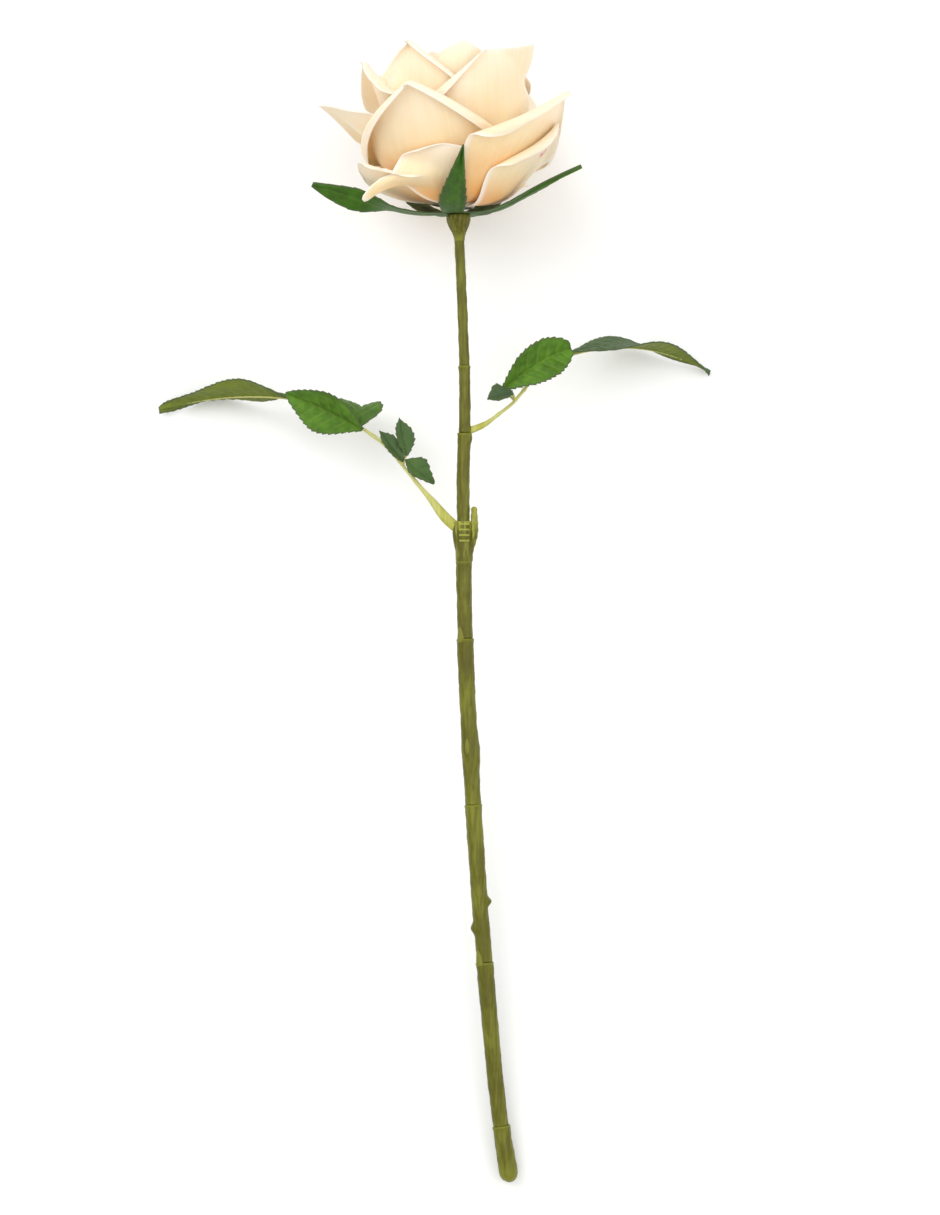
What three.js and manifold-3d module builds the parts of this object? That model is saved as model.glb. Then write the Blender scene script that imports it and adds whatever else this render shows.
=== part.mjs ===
// Artificial rose stem, lying on a flat surface.
// Millimetres. +Y runs from the cut end towards the flower head, +X to the right, +Z up from the surface.
// The flower is modelled about its own axis (+Y), with its receptacle at that frame's origin. The stem,
// the leaf sprigs and their leaflets are placed in the same frame, turned only by the stem's slope.

import * as THREE from "three";
import { mergeVertices } from "three/addons/utils/BufferGeometryUtils.js";
import Module from "manifold-3d";

const wasm = await Module();
wasm.setup();

// ---------- driving dimensions ----------
const FABRIC = 0.6; // thickness of a stiffened fabric petal, sepal or leaflet
const GAP = 0.35; // clearance between two pieces that touch
const STEM_RISE = 5.9; // degrees that the stem climbs from its cut end to the head

// Stem centre line, as [sideways, along] from the receptacle down to the cut end.
const STEM_ROUTE = [
  [0, 0], [1.6, -37], [2.7, -76], [2.0, -104], [2.2, -131], [2.9, -171],
  [5.1, -218], [8.1, -265], [12.0, -312], [16.0, -352], [20.9, -383.4],
];
const WIRE_RADIUS = 1.0;
const BORE_RADIUS = WIRE_RADIUS + 0.5;
const SPIGOT_LENGTH = 3.0; // how far a sleeve reaches into the next one down
const SPIGOT_WALL = 0.55;

// Moulded sleeves from the head down: top and bottom (distance along the stem) and outer radius.
const SLEEVES = [
  { name: "stem_sleeve_1", top: 11, bottom: 61.5, radius: 2.05, lower: 2.1 },
  { name: "stem_sleeve_2", top: 61.5, bottom: 88, radius: 2.25, lower: 2.3 },
  { name: "stem_sleeve_3", top: 88, bottom: 123.5, radius: 2.7, lower: 2.6 },
  { name: "stem_sleeve_4", top: 139.5, bottom: 169, radius: 3.5, lower: 3.0 },
  { name: "stem_sleeve_5", top: 169, bottom: 237.5, radius: 3.35, lower: 3.25 },
  { name: "stem_sleeve_6", top: 237.5, bottom: 297.5, radius: 3.3, lower: 3.3 },
  { name: "stem_sleeve_7", top: 297.5, bottom: 364.5, radius: 3.4, lower: 3.2 },
];
const END_CAP = { top: 364.5, bottom: 384.5, radius: 3.9 };
const COLLAR = { top: 123.5, bottom: 139.5, radius: 4.0, ribs: 4 };
const CALYX = { top: 1.2, bottom: 11, topRadius: 4.8, bottomRadius: 2.4 };

// ---------- materials ----------
function matte(color, roughness) {
  return new THREE.MeshStandardMaterial({ color, roughness, metalness: 0 });
}

const petalCream = () => matte("#f8e6cf", 0.75);
const leafGreen = () => matte("#4f8a33", 0.7);
const stemOlive = () => matte("#74771d", 0.5);
const shootGreen = () => matte("#b5b24c", 0.5);
const steel = () => new THREE.MeshStandardMaterial({ color: "#8f9291", roughness: 0.4, metalness: 1 });

// ---------- solids ----------
const rose = new THREE.Group();

function add(name, geometry, material) {
  const mesh = new THREE.Mesh(geometry, material);
  mesh.name = name;
  rose.add(mesh);
  return mesh;
}

function solidOf(geometry) {
  const bare = geometry.clone();
  bare.deleteAttribute("normal");
  bare.deleteAttribute("uv");
  const merged = mergeVertices(bare, 1e-4);
  const vertProperties = Float32Array.from(merged.attributes.position.array);
  const triVerts = Uint32Array.from(merged.index.array);
  return new wasm.Manifold(new wasm.Mesh({ numProp: 3, vertProperties, triVerts }));
}

function geometryOf(solid) {
  const mesh = solid.getMesh();
  const geometry = new THREE.BufferGeometry();
  geometry.setAttribute("position", new THREE.BufferAttribute(Float32Array.from(mesh.vertProperties), 3));
  geometry.setIndex(new THREE.BufferAttribute(Uint32Array.from(mesh.triVerts), 1));
  geometry.computeVertexNormals();
  return geometry;
}

// The biggest connected piece of a solid.
function largest(solid) {
  const pieces = solid.decompose();
  return pieces.reduce((best, piece) => (piece.volume() > best.volume() ? piece : best));
}

// Moves every vertex of a geometry by a function of its position.
function warp(geometry, move) {
  const position = geometry.attributes.position;
  const point = new THREE.Vector3();
  for (let i = 0; i < position.count; i += 1) {
    point.fromBufferAttribute(position, i);
    const moved = move(point);
    position.setXYZ(i, moved.x, moved.y, moved.z);
  }
  return geometry;
}

// A sheet of even thickness around surface(u, v), with u from -1 to 1 and v from 0 to 1.
function sheet(surface, across, along, thickness) {
  const box = new THREE.BoxGeometry(2, 1, 1, across, along, 1);
  const step = 0.01;
  return warp(box, (p) => {
    const u = p.x;
    const v = p.y + 0.5;
    const side = surface(u + step, v).sub(surface(u - step, v));
    const up = surface(u, v + step).sub(surface(u, v - step));
    const normal = side.cross(up).normalize();
    return surface(u, v).addScaledVector(normal, p.z * thickness);
  });
}

// ---------- petals ----------
const { clamp, degToRad, lerp, smoothstep } = THREE.MathUtils;
const PROFILE_STEPS = 40;
const ROLL_STEPS = 60;
const ROLL_REACH = 30;

// The centre line of a petal: radius and height against its share of the length, and its slope.
function petalProfile(petal) {
  const [atBase, atMiddle, atTip] = petal.open.map(degToRad);
  const turn = 0.45;
  const slope = (t) => {
    if (t < turn) return lerp(atBase, atMiddle, 0.5 - 0.5 * Math.cos((Math.PI * t) / turn));
    return lerp(atMiddle, atTip, ((t - turn) / (1 - turn)) ** 1.6);
  };
  const rows = [{ radius: petal.base[0], height: petal.base[1], slope: atBase }];
  const ds = petal.length / PROFILE_STEPS;
  for (let i = 1; i <= PROFILE_STEPS; i += 1) {
    const last = rows[i - 1];
    const angle = slope((i - 0.5) / PROFILE_STEPS);
    rows.push({
      radius: last.radius + Math.sin(angle) * ds,
      height: last.height + Math.cos(angle) * ds,
      slope: slope(i / PROFILE_STEPS),
    });
  }
  return rows;
}

function profileAt(rows, t) {
  const place = clamp(t, 0, 1) * PROFILE_STEPS;
  const i = Math.min(Math.floor(place), PROFILE_STEPS - 1);
  const share = place - i;
  const angle = lerp(rows[i].slope, rows[i + 1].slope, share);
  const beyond = (t - clamp(t, 0, 1)) * PROFILE_STEPS * Math.hypot(
    rows[1].radius - rows[0].radius,
    rows[1].height - rows[0].height,
  );
  return {
    radius: lerp(rows[i].radius, rows[i + 1].radius, share) + beyond * Math.sin(angle),
    height: lerp(rows[i].height, rows[i + 1].height, share) + beyond * Math.cos(angle),
    slope: angle,
  };
}

// Half width at a share of the length, as a share of the full half width.
function petalOutline(petal, v) {
  const { claw = 0.14, wide = 0.62, top = 0.42, taper = 2.4 } = petal;
  const grow = claw + (1 - claw) * Math.sin((Math.PI / 2) * clamp(v / wide, 0, 1)) ** 1.15;
  const shrink = 1 - top * clamp((v - wide) / (1 - wide), 0, 1) ** taper;
  return grow * shrink;
}

// A margin that rolls outwards: how far along the sheet and how far off it, past the fold line.
function rolled(distance, radius, ease, most) {
  let along = 0;
  let off = 0;
  let angle = 0;
  const ds = ROLL_REACH / ROLL_STEPS;
  for (let s = 0; s < distance; s += ds) {
    const step = Math.min(ds, distance - s);
    along += Math.cos(angle) * step;
    off += Math.sin(angle) * step;
    angle = Math.min(angle + (clamp((s + step / 2) / ease, 0, 1) / radius) * step, most);
  }
  return { along, off };
}

function petalSurface(petal) {
  const rows = petalProfile(petal);
  const { length, half, halfLeft = half, halfRight = half, tip = 0.05 } = petal;
  const { dome = 0.16, domeLeft = dome, domeRight = dome, point = 2.4, roll = 0 } = petal;
  const { ripple = 0.6, seed = 1, lean = 0, tilt = 0, ease = 4, mostRoll = 180 } = petal;
  const tiltSlope = Math.tan(degToRad(tilt));
  const leanAngle = degToRad(lean);
  const azimuth = degToRad(petal.azimuth);
  const folds = [[1, petal.foldRight], [-1, petal.foldLeft]].filter(([, fold]) => fold);

  return (u, v) => {
    let x = u * (u < 0 ? halfLeft : halfRight) * petalOutline(petal, v);
    const crown = tip * clamp(1 - Math.abs(u) * 1.3, 0, 1) ** 2 * v ** 6;
    const shoulder = (u < 0 ? domeLeft : domeRight) * Math.abs(u) ** point * v ** 3;
    let y = length * (v - shoulder + crown);
    let off = ripple * v ** 2 * (Math.sin(3.7 * u + 1.7 * seed)
      + 0.6 * Math.sin(5.1 * u + 2 * v + 2.9 * seed) + 0.5 * Math.sin(4 * v + 4.3 * seed));
    for (const [side, [middle, edge, radius, most]] of folds) {
      const reach = side > 0 ? halfRight : halfLeft;
      const drop = (edge - middle) * length;
      const slant = Math.hypot(reach, drop);
      const mx = (-side * drop) / slant;
      const my = reach / slant;
      const past = x * mx + (y - middle * length) * my;
      if (past > 0) {
        const bent = rolled(past, radius, ease, degToRad(Math.min(most, mostRoll)));
        x += (bent.along - past) * mx;
        y += (bent.along - past) * my;
        off += bent.off;
      }
    }
    const rollAngle = degToRad(roll) * smoothstep(v, 0.4, 0.75);
    off += x * Math.sin(rollAngle);
    x *= Math.cos(rollAngle);
    const turnedX = x * Math.cos(leanAngle) + y * Math.sin(leanAngle);
    const turnedY = -x * Math.sin(leanAngle) + y * Math.cos(leanAngle);
    off += turnedX * tiltSlope;
    const at = profileAt(rows, turnedY / length);
    const wrap = lerp(petal.wrap[0], petal.wrap[1], clamp(turnedY / length, 0, 1));
    const psi = turnedX / wrap;
    const out = at.radius - wrap * (1 - Math.cos(psi)) + off * Math.cos(at.slope) * Math.cos(psi);
    const round = wrap * Math.sin(psi) + off * Math.cos(at.slope) * Math.sin(psi);
    return new THREE.Vector3(
      round * Math.cos(azimuth) + out * Math.sin(azimuth),
      at.height - off * Math.sin(at.slope),
      -round * Math.sin(azimuth) + out * Math.cos(azimuth),
    );
  };
}

// Petal families, from the heart outwards. Angles are in degrees; open is the profile's slope from the
// axis at the base, the middle and the tip; a fold is [height at the middle, height at the edge] as
// shares of the length, then the roll's radius and its furthest turn.
const HEART = {
  open: [25, 4, -8], base: [2.9, 12], wrap: [6, 9], length: 44, half: 17, ripple: 0.2, dome: 0.1, tip: 0,
  tilt: -14, grid: [7, 4],
};
const INNER = {
  open: [44, 7, -2], base: [4, 10], wrap: [8, 17], length: 51, half: 25, ripple: 0.4, tilt: -8,
  foldLeft: [1.02, 0.72, 3, 60], foldRight: [1.02, 0.72, 3, 60], grid: [6, 5],
};
const MIDDLE = {
  open: [56, 12, 0], base: [5.5, 9], wrap: [9, 24], length: 57, half: 28, ripple: 0.5, tilt: -8,
  foldLeft: [1.02, 0.7, 3, 70], foldRight: [1.02, 0.7, 3, 70], grid: [6, 6],
};
const BUD = {
  open: [66, 16, 2], base: [7, 7.5], wrap: [10, 32], length: 62, half: 33, ripple: 0.6, top: 0.2, dome: 0.24,
  point: 1.25, tilt: -6, foldLeft: [0.95, 0.56, 3, 90], foldRight: [0.95, 0.56, 3, 90], grid: [8, 7],
};
const OUTER = {
  open: [80, 34, 52], base: [8.5, 5], wrap: [12, 46], length: 60, half: 34, ripple: 0.8, top: 0.25,
  dome: 0.26, point: 1.25, tilt: -6, foldLeft: [0.94, 0.45, 3, 90], foldRight: [0.94, 0.45, 3, 90],
  grid: [9, 7],
};
const LOW = {
  open: [88, 52, 84], base: [9, 2.5], wrap: [14, 60], length: 50, half: 28, ripple: 0.8, top: 0.3,
  dome: 0.16, tilt: -6, foldLeft: [0.96, 0.5, 3, 90], foldRight: [0.96, 0.5, 3, 90], grid: [8, 6],
};

function whorl(name, family, azimuths, firstSeed) {
  return azimuths.map((azimuth, i) => (
    { ...family, azimuth, seed: firstSeed + i, name: `${name}_${i + 1}` }
  ));
}

const PETALS = [
  ...whorl("heart_petal", HEART, [20, 140, 260], 0),
  ...whorl("inner_petal", INNER, [50, 140, 230, 320], 10),
  ...whorl("middle_petal", MIDDLE, [5, 95, 185, 275], 15),
  {
    ...BUD, name: "bud_petal_1", azimuth: 174, length: 69, lean: -5, seed: 25,
    domeLeft: 0, domeRight: 0.08,
  },
  { ...BUD, name: "bud_petal_2", azimuth: 104, length: 54, seed: 24, foldLeft: [1, 0.7, 3, 60] },
  {
    ...BUD, name: "bud_petal_3", azimuth: -86, half: 30, length: 59, seed: 23, dome: 0.06,
    open: [66, 21, 12], foldLeft: [0.97, 0.6, 3, 80], foldRight: [0.97, 0.6, 3, 80],
  },
  {
    ...BUD, name: "bud_petal_4", azimuth: -43, length: 64, halfLeft: 20, halfRight: 34, lean: 4, seed: 21,
    foldLeft: [0.95, 0.68, 3, 90],
  },
  {
    ...BUD, name: "bud_petal_5", azimuth: 26, halfLeft: 38, halfRight: 28, length: 57, lean: -4, seed: 22,
    domeLeft: 0.24, domeRight: -0.12, foldLeft: [0.97, 0.42, 3, 90], foldRight: [1.1, 0.8, 3, 40],
  },
  {
    ...OUTER, name: "outer_petal_1", azimuth: -154, length: 51, half: 30, tilt: -8, open: [80, 34, 26],
    seed: 36,
  },
  { ...OUTER, name: "outer_petal_2", azimuth: 144, length: 56, open: [80, 40, 30], seed: 34 },
  {
    ...OUTER, name: "outer_petal_3", azimuth: -86, half: 24, length: 58, top: 0.2, seed: 33,
    open: [80, 32, 72], dome: 0.2, foldLeft: [1, 0.6, 3, 90], foldRight: [1, 0.7, 3, 90],
  },
  {
    ...OUTER, name: "outer_petal_4", azimuth: -24, length: 57, halfLeft: 44, halfRight: 34,
    open: [80, 28, 36], top: 0.15, seed: 31, foldLeft: [0.94, 0.42, 3, 90], foldRight: [0.94, 0.5, 3, 90],
  },
  { ...LOW, name: "low_petal_1", azimuth: 156, length: 36, open: [88, 50, 20], seed: 43 },
  { ...LOW, name: "low_petal_2", azimuth: -138, length: 42, open: [88, 50, 20], seed: 45 },
  {
    ...LOW, name: "low_petal_3", azimuth: -62, length: 36, half: 18, top: 0.5, open: [80, 66, 70], seed: 44,
    foldLeft: [1, 0.8, 3, 60], foldRight: [1, 0.5, 3, 90],
  },
  {
    ...LOW, name: "low_petal_5", azimuth: -10, length: 32, halfLeft: 24, halfRight: 22, lean: 13,
    open: [88, 44, 30], tip: 0, dome: 0.08, seed: 41,
    foldLeft: [1, 0.5, 3, 90], foldRight: [0.97, 0.7, 3, 90],
  },
  {
    ...OUTER, name: "outer_petal_5", azimuth: 38, halfLeft: 32, halfRight: 28, top: 0.35, lean: 15,
    length: 63, base: [8.8, 3.5], open: [86, 37, 24], seed: 32, dome: 0.2, claw: 0.3,
    foldLeft: [0.96, 0.42, 3, 90], foldRight: [1, 0.5, 3, 90],
  },
  {
    ...LOW, name: "low_petal_4", azimuth: 76, half: 27, length: 46, top: 0.1, dome: 0.25, open: [88, 43, 40],
    lean: -4, claw: 0.3, seed: 42, foldRight: [0.96, 0.6, 3, 80],
  },
];

const PETAL_GAP = 0.5; // clearance that a petal keeps to the ones inside it
const MARGIN = 0.03; // share by which a petal's room is wider and longer than the petal
const SMOOTHING = 0.15;

// Pushes the edge of a sheet outwards and leaves the rest of it where it is.
function widened(share) {
  return Math.abs(share) > 0.999 ? share * (1 + MARGIN) : share;
}

// Each petal lies outside the ones before it: where their cloth would cross, the later one is cut back.
function addPetals() {
  const inside = [];
  for (const petal of PETALS) {
    const surface = petalSurface(petal);
    let solid = solidOf(sheet(surface, ...petal.grid, FABRIC));
    for (const other of inside) solid = solid.subtract(other);
    add(petal.name, geometryOf(largest(solid.simplify(SMOOTHING))), petalCream());
    const room = (u, v) => surface(widened(u), (widened(2 * v - 1) + 1) / 2);
    inside.push(solidOf(sheet(room, ...petal.grid, FABRIC + 2 * PETAL_GAP)));
  }
}

// ---------- bud core, calyx and sepals ----------
// A lathe's profile is [radius, height]; this one turns around +Y.
function turned(profile, segments) {
  const points = profile.map(([radius, height]) => new THREE.Vector2(radius, height));
  return new THREE.LatheGeometry(points, segments);
}

const SEPAL = {
  open: [92, 60, 62], base: [3, -1.2], wrap: [10, 40], length: 50, half: 7, claw: 0.75, wide: 0.35,
  top: 0.96, taper: 1.3, ripple: 0.5, dome: 0, tip: 0, grid: [2, 8],
};
const SEPALS = [
  {
    ...SEPAL, azimuth: -6, open: [93, 56, 26], length: 46, halfLeft: 7.5, halfRight: 2.6, lean: 8, seed: 51,
  },
  { ...SEPAL, azimuth: 72, open: [94, 63, 68], length: 51, half: 4, roll: 14, seed: 52 },
  { ...SEPAL, azimuth: 150, open: [96, 64, 40], length: 40, seed: 53 },
  { ...SEPAL, azimuth: -140, open: [96, 64, 40], length: 40, seed: 54 },
  {
    ...SEPAL, azimuth: -82, open: [96, 77, 66], length: 56, half: 5.5, roll: -62, top: 0.85, taper: 2.6,
    seed: 55,
  },
];

function addSepals() {
  const core = turned([[0, 0.6], [6.2, 0.6], [6.4, 3], [3, 8], [1.7, 12], [1.2, 40], [0, 42]], 12);
  add("bud_core", core, petalCream());
  const section = [[BORE_RADIUS, -1.5], [6.5, -1.5], [6.5, -0.7], [BORE_RADIUS, -0.7], [BORE_RADIUS, -1.5]];
  const ring = turned(section, 14);
  let star = solidOf(ring);
  for (const sepal of SEPALS) star = star.add(solidOf(sheet(petalSurface(sepal), ...sepal.grid, FABRIC)));
  add("sepal_star", geometryOf(star), leafGreen());
}

// ---------- stem ----------
const rise = Math.tan(degToRad(STEM_RISE));
const stemCurve = new THREE.CatmullRomCurve3(STEM_ROUTE.map(([x, y]) => new THREE.Vector3(x, y, y * rise)));
const stemLength = stemCurve.getLength();

// Carries a piece modelled around the Y axis, head end up, onto the stem's bent line.
function alongStem(geometry) {
  const upward = new THREE.Vector3(0, 0, 1);
  return warp(geometry, (p) => {
    const u = clamp(-p.y / stemLength, 0, 1);
    const axis = stemCurve.getTangentAt(u).negate();
    const side = axis.clone().cross(upward).normalize();
    const face = side.clone().cross(axis);
    const beyond = p.y + u * stemLength;
    const centre = stemCurve.getPointAt(u).addScaledVector(axis, beyond);
    return centre.addScaledVector(side, p.x).addScaledVector(face, p.z);
  });
}

const SIDES = 10;
const SPIGOT_RADIUS = BORE_RADIUS + SPIGOT_WALL;
const SOCKET_RADIUS = SPIGOT_RADIUS + GAP;
const RINGS = 3; // lengthwise steps that let a sleeve follow the bend

function steps(fromRadius, fromHeight, toRadius, toHeight) {
  const points = [];
  for (let i = 0; i <= RINGS; i += 1) {
    points.push([lerp(fromRadius, toRadius, i / RINGS), lerp(fromHeight, toHeight, i / RINGS)]);
  }
  return points;
}

function sleeve({ top, bottom, radius, lower }, socket, spigot) {
  const foot = -(bottom - GAP);
  const end = spigot ? foot - SPIGOT_LENGTH : foot;
  const seat = socket ? -(top + SPIGOT_LENGTH + GAP) : -top;
  const profile = [[BORE_RADIUS, end]];
  if (spigot) profile.push([SPIGOT_RADIUS, end], [SPIGOT_RADIUS, foot]);
  profile.push(...steps(lower, foot, radius, -top));
  if (socket) profile.push([SOCKET_RADIUS, -top], [SOCKET_RADIUS, seat]);
  profile.push(...steps(BORE_RADIUS, seat, BORE_RADIUS, end));
  return turned(profile, SIDES);
}

// A thorn, bud scar or socket lip: a small ellipsoid on the side of the stem.
function bump({ at, across, toward = 0, size }) {
  const geometry = new THREE.SphereGeometry(1, 8, 6);
  geometry.scale(...size);
  geometry.translate(across, -at, toward);
  return solidOf(geometry);
}

const BUMPS = {
  stem_sleeve_3: [{ at: 90.5, across: 2.4, size: [1.3, 1.6, 1.3] }],
  stem_sleeve_5: [{ at: 214, across: -2.9, size: [1.1, 3, 1.1] }],
  stem_sleeve_6: [
    { at: 276, across: 3.1, size: [1.5, 1.9, 1.2] },
    { at: 285, across: -3.0, size: [1.3, 2.6, 1.2] },
  ],
};

function addStem() {
  const cup = turned(
    [
      [BORE_RADIUS, -CALYX.bottom], [CALYX.bottomRadius, -CALYX.bottom], [2.7, -7.5], [3.6, -5.4],
      [4.1, -3.4], [CALYX.topRadius, -2.4], [CALYX.topRadius, -CALYX.top - GAP - FABRIC],
      [BORE_RADIUS, -CALYX.top - GAP - FABRIC], [BORE_RADIUS, -CALYX.bottom],
    ],
    14,
  );
  add("calyx_cup", alongStem(cup), stemOlive());
  const wireLength = END_CAP.bottom - 4;
  const wire = new THREE.CylinderGeometry(WIRE_RADIUS, WIRE_RADIUS, wireLength, 8, 32);
  wire.translate(0, -wireLength / 2, 0);
  add("stem_wire", alongStem(wire), steel());

  for (const spec of SLEEVES) {
    const socket = spec.radius > SOCKET_RADIUS + SPIGOT_WALL && spec.top > COLLAR.bottom;
    const spigot = spec.top >= COLLAR.bottom;
    let solid = solidOf(sleeve(spec, socket, spigot));
    for (const one of BUMPS[spec.name] ?? []) solid = solid.add(bump(one));
    const bored = solid.subtract(solidOf(wireTunnel(spec.top - 1, spec.bottom + SPIGOT_LENGTH + 1)));
    add(spec.name, alongStem(geometryOf(bored)), stemOlive());
  }

  const { top, bottom, radius } = END_CAP;
  const blind = -(bottom - 3.5);
  const cap = turned(
    [
      [0, -bottom], [2.4, -bottom + 0.25], [3.5, -bottom + 1.5], [radius, -bottom + 4.5],
      [radius - 0.2, -top], [SOCKET_RADIUS, -top], [SOCKET_RADIUS, -(top + SPIGOT_LENGTH + GAP)],
      [BORE_RADIUS, -(top + SPIGOT_LENGTH + GAP)], [BORE_RADIUS, blind], [0, blind],
    ],
    SIDES,
  );
  add("stem_end_cap", alongStem(cap), stemOlive());
}

function wireTunnel(top, bottom) {
  const tunnel = new THREE.CylinderGeometry(BORE_RADIUS, BORE_RADIUS, bottom - top, SIDES, 1);
  return tunnel.translate(0, -(top + bottom) / 2, 0);
}

// The ringed knuckle that carries the lower sprig, with an unused socket peg on its other side.
function addCollar() {
  const profile = [[BORE_RADIUS, -(COLLAR.bottom - GAP)], [3.6, -(COLLAR.bottom - GAP)]];
  const pitch = 2.4;
  const first = COLLAR.top + 1.2 + (COLLAR.ribs - 1) * pitch;
  profile.push([3.5, -(first + 1.4)]);
  for (let rib = 0; rib < COLLAR.ribs; rib += 1) {
    const at = first - rib * pitch;
    profile.push([COLLAR.radius, -(at + 0.5)], [COLLAR.radius, -(at - 0.3)], [3.5, -(at - 0.8)]);
  }
  profile.push([3.1, -COLLAR.top], [BORE_RADIUS, -COLLAR.top], [BORE_RADIUS, -(COLLAR.bottom - GAP)]);
  const peg = new THREE.CylinderGeometry(1.2, 1.7, 12.5, 8, 1);
  peg.rotateZ(degToRad(-3));
  peg.translate(4.5, -126.5, 0);
  const socket = bump({ at: 127, across: -3.9, size: [1.7, 2.6, 1.7] });
  const solid = solidOf(turned(profile, SIDES)).add(solidOf(peg)).add(socket);
  const bored = solid.subtract(solidOf(wireTunnel(COLLAR.top - 1, COLLAR.bottom + 1)));
  add("leaf_collar", alongStem(geometryOf(bored)), stemOlive());
}

// ---------- leaf sprigs ----------
// Positions are from the receptacle; each leafstalk runs from its socket on the stem to its end leaflet.
const STALKS = [
  {
    name: "left_leafstalk",
    route: [
      [-4.9, -121.0, -13], [-10.6, -113.4, -14], [-16.6, -106.2, -15], [-20.9, -100.6, -17],
      [-29.9, -90.0, -20], [-36.2, -85.0, -22], [-49, -77, -24], [-60.5, -72.2, -25],
    ],
    base: [1.9, 1.2], flat: 0.7,
  },
  {
    name: "right_leafstalk",
    route: [
      [6.6, -85.8, -9], [10.6, -83.9, -9.5], [16.5, -79.4, -10.5], [21.3, -75.4, -12], [25.2, -70.5, -14.5],
      [32, -62, -17], [39, -57, -18],
    ],
    base: [1.5, 1.1], flat: 1,
  },
];
const STALK_RADIUS = 0.75;

// A leafstalk: a tube that starts wide at its socket and thins within the first few millimetres.
function stalk({ route, base, flat }) {
  const curve = new THREE.CatmullRomCurve3(route.map((point) => new THREE.Vector3(...point)));
  const upward = new THREE.Vector3(0, 0, 1);
  const bar = new THREE.CylinderGeometry(1, 1, 1, 8, 20);
  return warp(bar, (p) => {
    const t = p.y + 0.5;
    const along = curve.getTangentAt(t);
    const side = along.clone().cross(upward).normalize();
    const face = side.clone().cross(along);
    const swell = Math.exp(-((t / 0.16) ** 2));
    const width = lerp(STALK_RADIUS, base[0], swell);
    const depth = lerp(STALK_RADIUS, base[1], swell) * lerp(1, flat, swell);
    return curve.getPointAt(t).addScaledVector(side, p.x * width).addScaledVector(face, p.z * depth);
  });
}

const LEAFLET = {
  claw: 0.1, wide: 0.42, top: 0.95, taper: 1.5, fold: 20, bow: [0, 0, 1], twist: 0, wave: 0.5,
};
const LEAFLETS = [
  {
    name: "left_leaflet_1", base: [-22.9, -97.6, -14.2], tip: [-31, -85.6, -15.5], half: 3.6,
    face: [0.2, 0.4, 0.9],
  },
  {
    name: "left_leaflet_2", base: [-19.8, -94.6, -14.5], tip: [-23.2, -80.4, -17], half: 4.4,
    face: [0.5, 0.2, 0.9],
  },
  {
    name: "left_leaflet_3", base: [-18.6, -98.8, -13.4], tip: [-9.4, -106.6, -16], half: 4.8,
    face: [0.3, 0.3, 0.9],
  },
  {
    name: "left_leaflet_4", base: [-41, -82.6, -19.4], tip: [-68.5, -70.4, -17], half: 9.5, wide: 0.52,
    face: [0.1, -0.5, 0.86], bow: [0, 0.5, 2], fold: 28,
  },
  {
    name: "left_leaflet_5", base: [-39.4, -81.2, -26.2], tip: [-38.5, -72.4, -37.4], half: 9.5,
    face: [0.1, 0.9, 0.4], bow: [0, 3, 4],
  },
  {
    name: "left_leaflet_end", base: [-62.9, -71.6, -26.5], tip: [-120.6, -73, -40.4], half: 9.5,
    face: [0, 0.97, -0.2], bow: [0, 3.2, 0], fold: 12, twist: 20, wave: 1.2, top: 0.85,
  },
  {
    name: "right_leaflet_1", base: [22.4, -72.0, -9.4], tip: [11.6, -74.2, -7], half: 5.2,
    face: [-0.3, 0.5, 0.8],
  },
  {
    name: "right_leaflet_2", base: [20, -68.4, -11.2], tip: [44.5, -53.6, -9], half: 8.4, wide: 0.6,
    top: 0.7, taper: 2.4, face: [0.1, -0.1, 0.98], fold: 24, bow: [0, 1.5, 2],
  },
  {
    name: "right_leaflet_end", base: [41, -55.4, -18.2], tip: [101.7, -57.6, -42.2], half: 9.5,
    face: [0, 0.98, 0.2], bow: [1, 7, 0], fold: 10, twist: -30, wave: 1,
  },
];

function leafSurface(leaf) {
  const base = new THREE.Vector3(...leaf.base);
  const tip = new THREE.Vector3(...leaf.tip);
  const control = base.clone().add(tip).multiplyScalar(0.5);
  control.addScaledVector(new THREE.Vector3(...leaf.bow), 2);
  const midrib = new THREE.QuadraticBezierCurve3(base, control, tip);
  const fold = degToRad(leaf.fold);
  return (u, v) => {
    const along = new THREE.Vector3()
      .addScaledVector(control.clone().sub(base), 2 * (1 - v))
      .addScaledVector(tip.clone().sub(control), 2 * v)
      .normalize();
    const side = along.clone().cross(new THREE.Vector3(...leaf.face)).normalize();
    side.applyAxisAngle(along, degToRad(leaf.twist) * (v - 0.5));
    const face = side.clone().cross(along);
    const x = u * leaf.half * petalOutline(leaf, v);
    const lift = Math.abs(x) * Math.sin(fold) + leaf.wave * u * u * Math.sin(9 * v + 2 * u);
    return midrib.getPoint(v).addScaledVector(side, x * Math.cos(fold)).addScaledVector(face, lift);
  };
}

function addSprigs() {
  for (const spec of STALKS) add(spec.name, stalk(spec), shootGreen());
  for (const leaf of LEAFLETS) {
    const surface = leafSurface({ ...LEAFLET, ...leaf });
    add(leaf.name, sheet(surface, 2, 8, FABRIC), leafGreen());
  }
}

// ---------- the whole rose ----------
addPetals();
addSepals();
const head = new THREE.Group();
head.add(...rose.children.slice());
head.rotation.x = degToRad(STEM_RISE);
rose.add(head);
addStem();
addCollar();
addSprigs();

// The origin goes to the bottom centre of the whole rose.
const lying = new THREE.Group();
lying.add(rose);
lying.updateMatrixWorld(true);
const box = new THREE.Box3().setFromObject(lying, true);
const centre = box.getCenter(new THREE.Vector3());
rose.position.set(-centre.x, -centre.y, -box.min.z);

export default lying;
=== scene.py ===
"""Artificial rose stem: the looks of a fabric rose on a moulded stem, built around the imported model."""

import math

import bmesh
import bpy
import numpy as np
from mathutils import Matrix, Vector
from mathutils.bvhtree import BVHTree


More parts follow.
